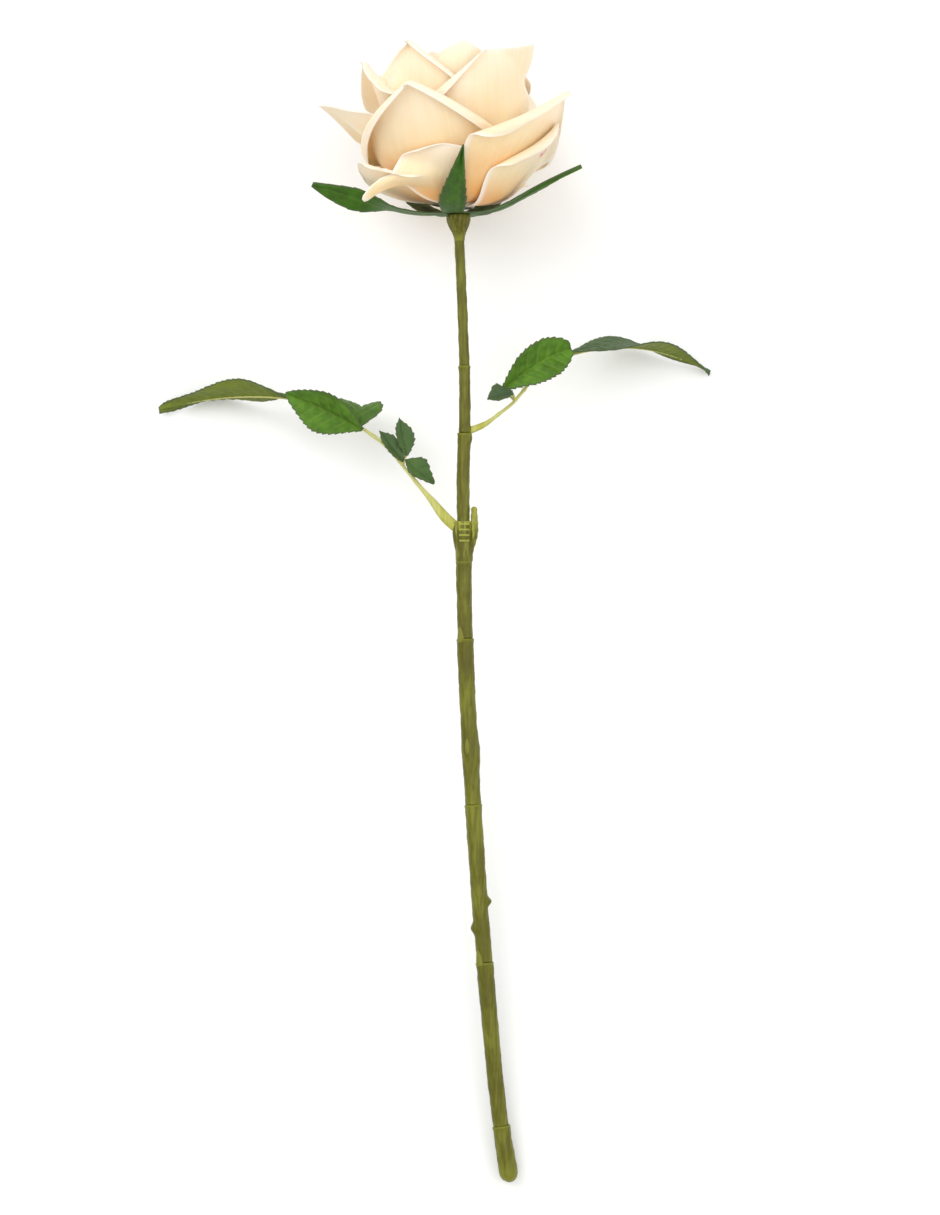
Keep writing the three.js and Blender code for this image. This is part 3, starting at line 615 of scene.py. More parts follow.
def sheet_grid(across, along):
    """Even u from -1 to 1 and v from 0 to 1, closer together towards the edges that roll."""
    u = np.linspace(-1, 1, across + 1)
    u = np.sign(u) * (1 - (1 - np.abs(u)) ** 1.25)
    v = 1 - (1 - np.linspace(0, 1, along + 1)) ** 1.2
    return np.meshgrid(u, v, indexing="ij")


def sheet_uv(u, v):
    """The flat map of a sheet: its own u and v, both brought to between 0 and 1."""
    return np.stack([(u + 1) / 2, v], -1)


def neighbour_mean(values):
    """The mean of each grid value's four neighbours."""
    padded = np.pad(values, 1, mode="edge")
    return (padded[:-2, 1:-1] + padded[2:, 1:-1] + padded[1:-1, :-2] + padded[1:-1, 2:]) / 4


def relax(values, rounds, last_rounds=5):
    """Spreads a grid of pushes smoothly to its neighbours, then rounds off the peaks."""
    spread = values.copy()
    for _ in range(rounds):
        spread = np.maximum(values, neighbour_mean(spread))
    for _ in range(last_rounds):
        spread = neighbour_mean(spread)
    return spread


def clear_of(tree, points, outward, free, gap, reach=9.0):
    """Pushes a petal outwards until it lies outside the cloth already laid, as a hand would tuck it."""
    for _ in range(2):
        push = np.zeros(points.shape[:2])
        for index in np.ndindex(push.shape):
            start = Vector(points[index] + outward[index] * reach)
            hit = tree.ray_cast(start, Vector(-outward[index]), reach + gap)
            if hit[0] is not None:
                push[index] = reach - hit[3] + gap
        push = relax(push * free, rounds=14)
        points = points + outward * push[..., None]
    return points


def inner_tree(laid):
    """A search tree over the petals already laid."""
    points, faces, first = [], [], 0
    for grid in laid:
        rows, columns = grid.shape[:2]
        points.extend(map(Vector, grid.reshape(-1, 3)))
        faces.extend(grid_faces(rows, columns, first))
        first += rows * columns
    return BVHTree.FromPolygons(points, faces)


class RosePetalSettings(bpy.types.PropertyGroup):
    """Cloth, colours and fineness of the petals."""

    thickness: bpy.props.FloatProperty(
        name="Cloth thickness", description="Thickness of the stiffened petal cloth", default=0.45 * MM,
        unit="LENGTH",
    )
    gap: bpy.props.FloatProperty(
        name="Petal gap", description="Least distance between two petals that lie on each other",
        default=0.7 * MM, unit="LENGTH",
    )
    across: bpy.props.IntProperty(
        name="Steps across", description="Mesh steps from one side of a petal to the other", default=56,
    )
    along: bpy.props.IntProperty(name="Steps along", description="Mesh steps from claw to rim", default=50)
    # Painted shade: this warm peach at the claw stands for the shade deep in the flower.
    depth_shade_hex: bpy.props.StringProperty(
        name="Claw colour", description="sRGB hex where the dye pooled, at the claw", default="#f0a752",
    )
    cream_hex: bpy.props.StringProperty(
        name="Cloth colour", description="sRGB hex of the petal's middle", default="#fadfb2",
    )
    rim_hex: bpy.props.StringProperty(
        name="Upper colour", description="sRGB hex of the petal's upper part", default="#fceacf",
    )
    # Painted highlight: the rolled edges are mixed towards this near white.
    edge_highlight_hex: bpy.props.StringProperty(
        name="Edge colour", description="sRGB hex of the rolled edge", default="#fdf2e2",
    )
    blush_hex: bpy.props.StringProperty(
        name="Blush colour", description="sRGB hex of the small dye mark in one roll", default="#e0707a",
    )


class RoseLeafSettings(bpy.types.PropertyGroup):
    """Cloth and colours of the leaflets and the sepals."""

    thickness: bpy.props.FloatProperty(
        name="Cloth thickness", description="Thickness of the leaf cloth", default=0.5 * MM, unit="LENGTH",
    )
    vein_spacing: bpy.props.FloatProperty(
        name="Vein spacing", description="Distance between side veins along the midrib", default=4.6 * MM,
        unit="LENGTH",
    )
    tooth: bpy.props.FloatProperty(
        name="Tooth length", description="Distance from one tooth of the edge to the next", default=2.3 * MM,
        unit="LENGTH",
    )
    bright_hex: bpy.props.StringProperty(
        name="Leaf colour", description="sRGB hex of the print", default="#55801c",
    )
    shade_hex: bpy.props.StringProperty(
        name="Leaf shade", description="sRGB hex of the mottle", default="#3d6012",
    )
    # Painted shade: the grey green that leaflets turned from the light are darkened towards.
    painted_shade_hex: bpy.props.StringProperty(
        name="Leaf grey", description="sRGB hex of the duller cloth", default="#43563a",
    )
    vein_hex: bpy.props.StringProperty(
        name="Vein colour", description="sRGB hex of the veins", default="#86a046",
    )
    under_hex: bpy.props.StringProperty(
        name="Back colour", description="sRGB hex of the back", default="#727d2a",
    )
    under_dark_hex: bpy.props.StringProperty(
        name="Back shade", description="sRGB hex of the back's mottle", default="#5f6e24",
    )
    rim_hex: bpy.props.StringProperty(
        name="Cut edge", description="sRGB hex of the cut edge", default="#4b5a35",
    )
    sepal_hex: bpy.props.StringProperty(
        name="Sepal colour", description="sRGB hex of the sepals", default="#3f6d0e",
    )
    sepal_dark_hex: bpy.props.StringProperty(
        name="Sepal shade", description="sRGB hex of the sepals' mottle", default="#2b480c",
    )


class RosePetals(bpy.types.Operator):
    """Lay the petals from the heart outwards, each outside the ones before it"""

    bl_idname = "rose.petals"
    bl_label = "Petals"

    def execute(self, context):
        settings = context.scene.rose_petals
        satin = petal_fabric(settings)
        laid = []
        for petal in PETALS:
            u, v = sheet_grid(settings.across, settings.along)
            points, outward = petal_points(petal, u, v)
            if laid:
                free = smooth((v - 0.12) / 0.2)
                points = clear_of(inner_tree(laid), points, outward, free, settings.gap / MM)
            laid.append(points)
            blush = np.zeros_like(u)
            if petal.get("blush"):
                across, along = (u - 0.42) * 18, (v - 0.76) * petal["length"]
                ring = np.exp(-(((np.hypot(across, along) - 1.9) / 0.8) ** 2))
                blush = ring * smooth((1.2 + 0.6 * across - along) / 1.2)
            extra = {"blush": blush, "length_mm": np.full_like(u, petal["length"])}
            piece = sheet_object(
                petal["name"] + "_cloth", head_to_row(points), sheet_uv(u, v), settings.thickness / MM,
                satin, extra,
            )
            deeper = petal["name"].split("_")[0] in ("heart", "inner", "middle")
            hand_over(piece, "heart_fabric" if deeper else "petal_fabric", petal["name"])
        return {"FINISHED"}


# ---------- the stem's own shapes ----------
def stations_of(route):
    """Distances along a route at its points."""
    return np.concatenate([[0], np.cumsum(np.linalg.norm(np.diff(route, axis=0), axis=1))])


def curve_at(route, stations, s, run_on=1.35):
    """Points on a smooth line through a route at distances along it, and the line's direction there.

    It may run on past its end by a share of its last step.
    """
    pace = np.gradient(route, stations, axis=0)
    i = np.clip(np.searchsorted(stations, s) - 1, 0, len(stations) - 2)
    span = (stations[i + 1] - stations[i])[..., None]
    t = np.clip((s[..., None] - stations[i][..., None]) / span, 0, run_on)
    start, end = route[i], route[i + 1]
    rise, fall = pace[i] * span, pace[i + 1] * span
    points = start + t * rise + t ** 2 * (3 * (end - start) - 2 * rise - fall)
    points += t ** 3 * (2 * (start - end) + rise + fall)
    return points, lerp(pace[i], pace[i + 1], np.clip(t, 0, 1))


STATIONS = stations_of(CENTRE_LINE)


def stem_at(s):
    """Points on the stem's centre line at distances from the head, and the way towards the head there."""
    points, pace = curve_at(CENTRE_LINE, STATIONS, np.asarray(s, dtype=float))
    return points, unit(-pace)


def around_stem(s, radius, angle):
    """Points at an angle in degrees around the stem: 0 on its upper side, 90 to the right."""
    centre, axis = stem_at(s)
    side = unit(np.cross(axis, (0, 0, 1)))
    face = np.cross(side, axis)
    turn = np.radians(angle)[..., None]
    return centre + np.asarray(radius)[..., None] * (side * np.sin(turn) + face * np.cos(turn))


def tube_faces(count, sides):
    """Faces of a tube through rings of points, closed by a fan at each end."""
    faces = []
    for i in range(count - 1):
        for j in range(sides):
            a, b = i * sides + j, i * sides + (j + 1) % sides
            faces.append((a, b, b + sides, a + sides))
    last = (count - 1) * sides
    for j in range(sides):
        k = (j + 1) % sides
        faces.append((count * sides, k, j))
        faces.append((count * sides + 1, last + j, last + k))
    return faces


def tube_object(name, rings, material, worn=None):
    """A closed tube through rings of points; worn is how pale its plastic is at each ring."""
    count, sides = rings.shape[:2]
    points = np.concatenate([rings.reshape(-1, 3), rings[:1].mean(axis=1), rings[-1:].mean(axis=1)])
    worn = np.zeros(count) if worn is None else np.asarray(worn, dtype=float)
    values = np.concatenate([np.repeat(worn, sides), worn[:1], worn[-1:]])
    made = new_mesh(name, points, tube_faces(count, sides), material, {"worn": values})
    tidy = bmesh.new()
    tidy.from_mesh(made.data)
    bmesh.ops.recalc_face_normals(tidy, faces=tidy.faces)
    tidy.to_mesh(made.data)
    tidy.free()
    return made


def joined(name, parts):
    """Joins finished objects into one under a new name."""
    with bpy.context.temp_override(active_object=parts[0], selected_editable_objects=parts):
        bpy.ops.object.join()
    parts[0].name = name
    parts[0].data.name = name
    return parts[0]


# ---------- geometry node trees ----------
def start_tree(name, sockets):
    """A geometry node tree whose inputs are (label, kind, value); returns it and its two end nodes."""
    tree = bpy.data.node_groups.new(name, "GeometryNodeTree")
    tree.interface.new_socket("Geometry", in_out="INPUT", socket_type="NodeSocketGeometry")
    tree.interface.new_socket("Geometry", in_out="OUTPUT", socket_type="NodeSocketGeometry")
    for label, kind, value in sockets:
        socket = tree.interface.new_socket(label, in_out="INPUT", socket_type=f"NodeSocket{kind}")
        if value is not None:
            socket.default_value = value
    return tree, add_node(tree, "NodeGroupInput"), add_node(tree, "NodeGroupOutput")


def end_tree(tree, geometry, given, result):
    """Ends a tree in Realize Instances and Set Material."""
    real = add_node(tree, "GeometryNodeRealizeInstances", {"Geometry": geometry})
    painted = add_node(
        tree, "GeometryNodeSetMaterial", {"Geometry": real, "Material": given.outputs["Material"]},
    )
    tree.links.new(painted.outputs["Geometry"], result.inputs["Geometry"])


def grown(name, tree, path, girth, worn, values):
    """Runs a tree on a path in millimetres, with its girth and paleness at each point, and keeps the mesh."""
    points = (np.asarray(path) * MM).tolist()
    mesh = bpy.data.meshes.new(name)
    mesh.from_pydata(points, [(i, i + 1) for i in range(len(points) - 1)], [])
    for key, numbers in (("girth", np.asarray(girth) * MM), ("worn", worn)):
        layer = mesh.attributes.new(key, "FLOAT", "POINT")
        spread = np.broadcast_to(np.asarray(numbers, dtype=np.float32), len(points)).copy()
        layer.data.foreach_set("value", spread)
    made = bpy.data.objects.new(name, mesh)
    bpy.context.scene.collection.objects.link(made)
    modifier = made.modifiers.new(tree.name, "NODES")
    modifier.node_group = tree
    for item in tree.interface.items_tree:
        if item.in_out == "INPUT" and item.name in values:
            modifier[item.identifier] = values[item.name]
    graph = bpy.context.evaluated_depsgraph_get()
    plain = bpy.data.meshes.new_from_object(made.evaluated_get(graph), depsgraph=graph)
    made.modifiers.remove(modifier)
    made.data = plain
    plain.shade_smooth()
    return made


def swept(tree, given):
    """Nodes that sweep a ring along the incoming path, as thick as its girth says."""
    path = add_node(tree, "GeometryNodeMeshToCurve", {"Mesh": given.outputs["Geometry"]})
    named = add_node(tree, "GeometryNodeInputNamedAttribute", {"Name": "girth"}, data_type="FLOAT")
    girth = named.outputs["Attribute"]
    sized = add_node(tree, "GeometryNodeSetCurveRadius", {"Curve": path, "Radius": girth})
    ring = add_node(
        tree, "GeometryNodeCurvePrimitiveCircle", {"Radius": 1.0, "Resolution": given.outputs["Sides"]},
    )
    rod = add_node(
        tree, "GeometryNodeCurveToMesh", {"Curve": sized, "Profile Curve": ring, "Fill Caps": True},
    )
    if "Scale" in rod.inputs:
        tree.links.new(girth, rod.inputs["Scale"])
    return sized.outputs["Curve"], rod.outputs["Mesh"]


def rod_tree():
    """A moulded rod: swept along a path, gently uneven, with up to two bumps on its side."""
    sockets = [
        ("Sides", "Int", 28), ("Unevenness", "Float", 0.35 * MM), ("Unevenness Length", "Float", 7 * MM),
        ("Material", "Material", None),
    ]
    for which in ("First", "Second"):
        sockets += [
            (f"{which} Bump Place", "Vector", (0.0, 0.0, 0.0)), (f"{which} Bump Reach", "Float", 0.0),
            (f"{which} Bump Height", "Float", 0.0),
        ]
    tree, given, result = start_tree("moulded_rod", sockets)
    _, rod = swept(tree, given)
    place = add_node(tree, "GeometryNodeInputPosition")
    stretch = given.outputs["Unevenness Length"]
    size = add_node(tree, "ShaderNodeCombineXYZ", {"X": stretch, "Y": stretch, "Z": stretch})
    spread = add_node(tree, "ShaderNodeVectorMath", {0: place, 1: size}, operation="DIVIDE")
    noise = add_node(
        tree, "ShaderNodeTexNoise", {"Vector": spread, "Scale": 1.0, "Detail": 2.0, "Roughness": 0.55},
    )
    centred = add_node(tree, "ShaderNodeMath", {0: noise, 1: 0.5}, operation="SUBTRACT")
    lift = add_node(
        tree, "ShaderNodeMath", {0: centred, 1: given.outputs["Unevenness"]}, operation="MULTIPLY",
    )
    for which in ("First", "Second"):
        away = add_node(
            tree, "ShaderNodeVectorMath", {0: place, 1: given.outputs[f"{which} Bump Place"]},
            operation="DISTANCE",
        ).outputs["Value"]
        bump = add_node(
            tree, "ShaderNodeMapRange",
            {
                "Value": away, "From Min": 0.0, "From Max": given.outputs[f"{which} Bump Reach"],
                "To Min": given.outputs[f"{which} Bump Height"], "To Max": 0.0,
            },
            interpolation_type="SMOOTHSTEP",
        )
        lift = add_node(tree, "ShaderNodeMath", {0: lift, 1: bump}, operation="ADD")
    normal = add_node(tree, "GeometryNodeInputNormal")
    push = add_node(tree, "ShaderNodeVectorMath", {0: normal, "Scale": lift}, operation="SCALE")
    moved = add_node(tree, "GeometryNodeSetPosition", {"Geometry": rod, "Offset": push})
    end_tree(tree, moved.outputs["Geometry"], given, result)
    return tree


def collar_tree():
    """A ringed knuckle: a swept body with short raised ribs repeated up its face."""
    tree, given, result = start_tree("ringed_knuckle", [
        ("Sides", "Int", 32), ("Ribs", "Int", 4), ("Rib Radius", "Float", 0.42 * MM),
        ("Rib Ring Radius", "Float", 3.6 * MM), ("Rib Turn", "Vector", (0.0, 0.0, 0.0)),
        ("First Rib", "Float", 0.1), ("Last Rib", "Float", 0.6), ("Material", "Material", None),
    ])
    path, body = swept(tree, given)
    row = add_node(
        tree, "GeometryNodeTrimCurve",
        {"Curve": path, "Start": given.outputs["First Rib"], "End": given.outputs["Last Rib"]},
    )
    spots = add_node(tree, "GeometryNodeResampleCurve", {"Curve": row, "Count": given.outputs["Ribs"]})
    arc = add_node(tree, "GeometryNodeCurveArc", {
        "Resolution": 14, "Radius": given.outputs["Rib Ring Radius"], "Start Angle": math.radians(52),
        "Sweep Angle": math.radians(66),
    })
    thick = add_node(
        tree, "GeometryNodeCurvePrimitiveCircle",
        {"Resolution": 10, "Radius": given.outputs["Rib Radius"]},
    )
    rib = add_node(
        tree, "GeometryNodeCurveToMesh", {"Curve": arc, "Profile Curve": thick, "Fill Caps": True},
    )
    pale = add_node(
        tree, "GeometryNodeStoreNamedAttribute", {"Geometry": rib, "Name": "worn", "Value": 0.6},
        data_type="FLOAT", domain="POINT",
    )
    ribs = add_node(
        tree, "GeometryNodeInstanceOnPoints",
        {"Points": spots, "Instance": pale, "Rotation": given.outputs["Rib Turn"]},
    )
    both = add_node(tree, "GeometryNodeJoinGeometry", {"Geometry": ribs})
    tree.links.new(body, both.inputs["Geometry"])
    end_tree(tree, both.outputs["Geometry"], given, result)
    return tree


class RoseStemSettings(bpy.types.PropertyGroup):
    """Fineness and colours of the moulded stem."""

    sides: bpy.props.IntProperty(name="Sides", description="Mesh sides around the stem", default=32)
    step: bpy.props.FloatProperty(
        name="Step", description="Length of a mesh step along the stem", default=0.6 * MM, unit="LENGTH",
    )
    unevenness: bpy.props.FloatProperty(
        name="Unevenness", description="Height of the moulded stem's waves", default=0.75 * MM, unit="LENGTH",
    )
    base_hex: bpy.props.StringProperty(
        name="Stem colour", description="sRGB hex of the stem", default="#595903",
    )
    dark_hex: bpy.props.StringProperty(
        name="Stem shade", description="sRGB hex of its drag lines", default="#4d4408",
    )
    light_hex: bpy.props.StringProperty(
        name="Stem lights", description="sRGB hex of bare edges", default="#787a20",
    )
    cup_hex: bpy.props.StringProperty(name="Cup colour", description="sRGB hex of the cup", default="#5f5c08")
    cup_dark_hex: bpy.props.StringProperty(
        name="Cup shade", description="sRGB hex of its flutes", default="#33330a",
    )
    shoot_hex: bpy.props.StringProperty(
        name="Shoot colour", description="sRGB hex of leafstalks", default="#a9a848",
    )
    shoot_dark_hex: bpy.props.StringProperty(
        name="Shoot shade", description="sRGB hex of the leafstalks' feet", default="#8d8f30",
    )
    shoot_light_hex: bpy.props.StringProperty(
        name="Shoot lights", description="sRGB hex of the leafstalks' thin ends", default="#c6c47c",
    )


# Sleeves from the head down: CAD node, top and bottom along the stem, radius at each, then their bumps as
# (distance along, angle around the stem, reach, height). Lips stand out at a joint.
SLEEVES = [
    ("stem_sleeve_1", 10.4, 61.5, 1.95, 2.05, []),
    ("stem_sleeve_2", 61.5, 88.0, 2.2, 2.3, [(86.6, 80, 2.4, 0.5)]),
    ("stem_sleeve_3", 88.0, 124.5, 2.65, 2.5, [(90.5, 70, 3.0, 0.7)]),
    ("stem_sleeve_4", 138.5, 169.0, 3.15, 2.95, []),
    ("stem_sleeve_5", 169.0, 234.5, 3.3, 3.15, [(214.0, 92, 12.0, 0.7), (184.8, 60, 1.6, 0.4)]),
    ("stem_sleeve_6", 234.5, 296.8, 3.3, 3.15, [(273.0, 88, 2.6, 1.5), (283.0, -86, 3.4, 1.2)]),
    ("stem_sleeve_7", 296.8, 361.5, 3.35, 3.1, [(299.0, 60, 2.0, 0.4)]),
]
END_CAP = (361.5, 384.0, 3.35, 3.8)
# Pale tongues that a lower sleeve lays over the foot of the one above: distance of the tip and of the
# foot along the stem, angle, and width in degrees.
TONGUES = [("joint_tongue_1", 164.6, 170.4, 2.95, -44, 66), ("joint_tongue_2", 291.8, 297.8, 3.15, -48, 62)]
TONGUE_THICKNESS = 0.5
SCAR = ("leaf_scar", 208.4, 215.4, 3.2, -18, 34)
KNUCKLE = (122.8, 139.6, 3.45, 3.2)
# Tops and bottoms along the stem of the knuckle's unused peg and of the socket for the lower sprig.
PEG = (117.2, 138.6)
SOCKET = (123.6, 138.4)
# The cup's radius at distances from the receptacle.
CUP_PROFILE = (
    (1.7, 3.6), (2.2, 4.7), (3.2, 4.8), (4.6, 4.5), (6.5, 3.9), (9.0, 2.75), (11.0, 2.15), (12.0, 2.0),
    (12.5, 1.9),
)


def sleeve_path(top, bottom, upper, lower, step, tip=False):
    """Stations, girths and paleness of a sleeve with rounded ends and a slight lip at its top."""
    count = max(int((bottom - top) / step), 8)
    s = np.linspace(top, bottom, count)
    ends = np.array([0.0, 0.05, 0.15, 0.32])
    s = np.unique(np.concatenate([s, top + ends, bottom - ends]))
    girth = lerp(upper, lower, (s - top) / (bottom - top))
    girth = girth + 0.22 * np.exp(-((s - top - 0.5) / 0.7) ** 2)
    soft = 4.2 if tip else 0.4
    for away, reach, drop in ((s - top, 0.4, 0.4), (bottom - s, soft, 0.4 if not tip else lower * 0.96)):
        near = np.clip(away / reach, 0, 1)
        girth = girth - drop * (1 - np.sqrt(1 - (1 - near) ** 2))
    worn = np.exp(-((s - top) / 0.9) ** 2) * 0.7
    if tip:
        worn = worn + 0.9 * smooth((s - bottom + 9) / 9)
    return s, girth, np.clip(worn, 0, 1)


class RoseSleeves(bpy.types.Operator):
    """Mould the sleeves and the end cap around the wire, with their joints, bumps and tongues"""

    bl_idname = "rose.sleeves"
    bl_label = "Stem sleeves"

    def execute(self, context):
        settings = context.scene.rose_stem
        plastic = moulded_plastic("moulded_stem", settings.dark_hex, settings.base_hex, settings.light_hex)
        tree = rod_tree()
        rows = [(name, *sizes) for name, *sizes in SLEEVES] + [("stem_end_cap", *END_CAP, [])]
        for name, top, bottom, upper, lower, bumps in rows:
            s, girth, worn = sleeve_path(
                top, bottom, upper, lower, settings.step / MM, tip=name == "stem_end_cap",
            )
            path, _ = stem_at(s)
            values = {
                "Sides": settings.sides, "Unevenness": settings.unevenness, "Unevenness Length": 4.5 * MM,
                "Material": plastic,
            }
            for which, (at, angle, reach, height) in zip(("First", "Second"), bumps):
                spot = around_stem(np.array([at]), np.array([upper]), np.array([angle]))[0]
                values[f"{which} Bump Place"] = tuple(spot * MM)
                values[f"{which} Bump Reach"] = reach * MM
                values[f"{which} Bump Height"] = height * MM
            piece = grown(name.replace("stem_", "moulded_"), tree, path, girth, worn, values)
            hand_over(piece, "stem_plastic", name)
        for name, tip, foot, radius, angle, width in (*TONGUES, SCAR):
            u, v = sheet_grid(16, 20)
            shape = np.sin(np.pi * np.clip(v * 0.5 + 0.5, 0, 1)) ** 0.6
            if name == "leaf_scar":
                shape = np.sin(np.pi * np.clip(v, 0, 1)) ** 0.7
            turn = angle + u * width / 2 * shape
            s = lerp(foot, tip, v)
            arch = 0.62 * (1 - u ** 2) * shape
            grid = around_stem(s, radius - 0.12 + arch, turn)
            pale = {"worn": np.full_like(u, 0.8)}
            piece = sheet_object(name, grid, sheet_uv(u, v), TONGUE_THICKNESS, plastic, pale)
            hand_over(piece, "stem_plastic")
        return {"FINISHED"}


def flat_rings(centres, radius, sides=16):
    """Rings of points around centres, each square to the row's length."""
    turn = np.radians(np.arange(sides) * 360 / sides)
    ring = np.stack([np.cos(turn), 0 * turn, np.sin(turn)], -1)
    return centres[:, None] + radius[:, None, None] * ring


class RoseCollar(bpy.types.Operator):
    """Mould the ringed knuckle that carries the lower leaf sprig, and its unused peg"""

    bl_idname = "rose.collar"
    bl_label = "Ringed knuckle"

    def execute(self, context):
        settings = context.scene.rose_stem
        plastic = moulded_plastic("moulded_knuckle", settings.dark_hex, settings.base_hex, "#b4b64e")
        s, girth, worn = sleeve_path(*KNUCKLE, settings.step / MM)
        path, _ = stem_at(s)
        body = grown("knuckle_body", collar_tree(), path, girth, worn * 0.4, {
            "Sides": settings.sides, "Ribs": 4, "Rib Radius": 0.42 * MM, "Rib Ring Radius": 3.35 * MM,
            "Rib Turn": (math.pi / 2 + STEM_RISE, 0.0, 0.0), "First Rib": 0.07, "Last Rib": 0.46,
            "Material": plastic,
        })
        peg_s = np.linspace(*PEG, 44)
        peg_radius = 1.15 + 0.4 * smooth((peg_s - 117) / 8) - 0.6 * smooth((peg_s - 130) / 8)
        peg_radius *= np.sqrt(np.clip(1 - np.clip(1 - (peg_s - 116.9) / 1.2, 0, 1) ** 2, 0.02, 1))
        centre = around_stem(peg_s, 4.35 - 1.75 * smooth((peg_s - 126) / 10), np.full_like(peg_s, 84))
        knobs = 1 + 0.06 * np.sin(peg_s * 2.3)
        rings = flat_rings(centre, peg_radius * knobs)
        peg = tube_object("peg", rings, plastic, 0.4 - 0.4 * smooth((peg_s - 122) / 8))
        socket_s = np.linspace(*SOCKET, 30)
        reach = np.clip(np.sin(np.pi * np.sqrt((socket_s - SOCKET[0]) / 14.8)), 0, 1) ** 0.7
        centre = around_stem(socket_s, 1.6 + 0.9 * reach, np.full_like(socket_s, -86))
        rings = flat_rings(centre, 0.3 + 1.55 * reach)
        socket = tube_object("socket", rings, plastic)
        hand_over(joined("leaf_knuckle", [body, peg, socket]), "stem_plastic", "leaf_collar")
        return {"FINISHED"}


class RoseCup(bpy.types.Operator):
    """Mould the fluted cup under the sepals, and finish the foam core and the wire that stay inside"""

    bl_idname = "rose.cup"
    bl_label = "Cup, core and wire"

    def execute(self, context):
        settings = context.scene.rose_stem
        plastic = moulded_plastic("moulded_cup", settings.cup_dark_hex, settings.cup_hex, "#8a8c30", 0.5)
        rows, sides, flute_count = 44, 60, 9
        stations, radii = zip(*CUP_PROFILE)
        s = np.linspace(stations[0], stations[-1], rows)
        profile = np.interp(s, stations, radii)
        angle = np.arange(0, 360, 360 / sides)
        flutes = 0.05 * np.cos(np.radians(angle * flute_count)) * smooth((s[:, None] - 2) / 3)
        flutes = 1 + flutes * smooth((11.5 - s[:, None]) / 3)
        rings = around_stem(
            np.repeat(s[:, None], sides, 1), profile[:, None] * flutes, np.broadcast_to(angle, (rows, sides)),
        )
        piece = tube_object("fluted_cup", rings, plastic, 0.5 * smooth((s - 8) / 4))
        hand_over(piece, "calyx_plastic", "calyx_cup")

        foam, wire = bead_foam(), drawn_wire()
        for node, finish in (("bud_core", foam), ("stem_wire", wire)):
            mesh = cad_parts[node].data
            mesh.materials.clear()
            mesh.materials.append(finish)
        return {"FINISHED"}


# ---------- leaf sprigs ----------
# Positions are from the receptacle, in millimetres. A stalk's base is its half width and half depth.
STALKS = [
    (
        "left_leafstalk", (2.1, 0.9), (
            (-0.6, -124.6, -12.6), (-4.2, -121.4, -12.8), (-10.6, -113.4, -14), (-16.6, -106.2, -15),
            (-20.9, -100.6, -17), (-29.9, -90.0, -20), (-36.2, -85.0, -22), (-49, -77, -24),
            (-60.5, -72.2, -25),
        ),
    ),
    (
        "right_leafstalk", (1.4, 1.2), (
            (3.4, -86.9, -8.9), (6.6, -85.8, -9), (10.6, -83.9, -9.5), (16.5, -79.4, -10.5),
            (21.3, -75.4, -12), (25.2, -70.5, -14.5), (32, -62, -17), (39, -57, -18),
        ),
    ),
]
STALK_RADIUS = 0.65
# A leaflet's shade is painted shade: how far its print is darkened for a leaflet turned from the light.
LEAFLET = dict(claw=0.1, wide=0.42, top=0.95, taper=1.5, fold=20, bow=(0, 0, 1), twist=0, wave=0.5, shade=0.0)
LEAFLETS = [
    dict(
        LEAFLET, name="left_leaflet_1", base=(-21.6, -98.0, -14.2), tip=(-31, -85.6, -15.5), half=3.6,
        face=(0.2, 0.4, 0.9), shade=0.75,
    ),
    dict(
        LEAFLET, name="left_leaflet_2", base=(-20.2, -95.6, -14.5), tip=(-23.2, -80.4, -17), half=4.4,
        face=(0.5, 0.2, 0.9), shade=0.65,
    ),
    dict(
        LEAFLET, name="left_leaflet_3", base=(-20.8, -97.4, -13.4), tip=(-9.4, -106.6, -16), half=4.8,
        face=(0.3, 0.3, 0.9), shade=0.6,
    ),
    dict(
        LEAFLET, name="left_leaflet_4", base=(-38, -84.6, -19.4), tip=(-68.5, -70.4, -17), half=9.5,
        wide=0.52, face=(0.1, -0.5, 0.86), bow=(0, 0.5, 2), fold=28, shade=0.0,
    ),
    dict(
        LEAFLET, name="left_leaflet_5", base=(-39.8, -83.4, -21.5), tip=(-38.5, -73.4, -37), half=9.5,
        face=(0.1, 0.9, 0.4), bow=(0, 3, 4), shade=0.25,
    ),
    dict(
        LEAFLET, name="left_leaflet_end", base=(-62.5, -71.2, -25.5), tip=(-120.6, -73.0, -40.4), half=9.5,
        face=(0, 0.97, -0.2), bow=(0, 3.2, 0), fold=12, twist=20, wave=1.8, shade=0.5, top=0.98, taper=2.2,
    ),
    dict(
        LEAFLET, name="right_leaflet_1", base=(21.6, -71.0, -10), tip=(11.6, -74.2, -7), half=5.2,
        face=(-0.3, 0.5, 0.8), shade=0.9,
    ),
    dict(
        LEAFLET, name="right_leaflet_2", base=(17.5, -70.0, -11.5), tip=(44.5, -53.6, -9), half=8.4,
        face=(0.1, -0.1, 0.98), fold=24, bow=(0, 1.5, 2), wide=0.6, top=0.7, taper=2.4,
    ),
    dict(
        LEAFLET, name="right_leaflet_end", base=(41, -55.4, -18.2), tip=(101.7, -57.6, -42.2), half=9.5,
        face=(0, 0.98, 0.2), bow=(1, 7, 0), fold=10, twist=-30, wave=1.5, shade=0.8,
    ),
]


def smooth_route(route, count):
    """A smooth line through the points of a route."""
    route = np.array(route, dtype=float)
    stations = stations_of(route)
    return curve_at(route, stations, np.linspace(0, stations[-1], count))[0]


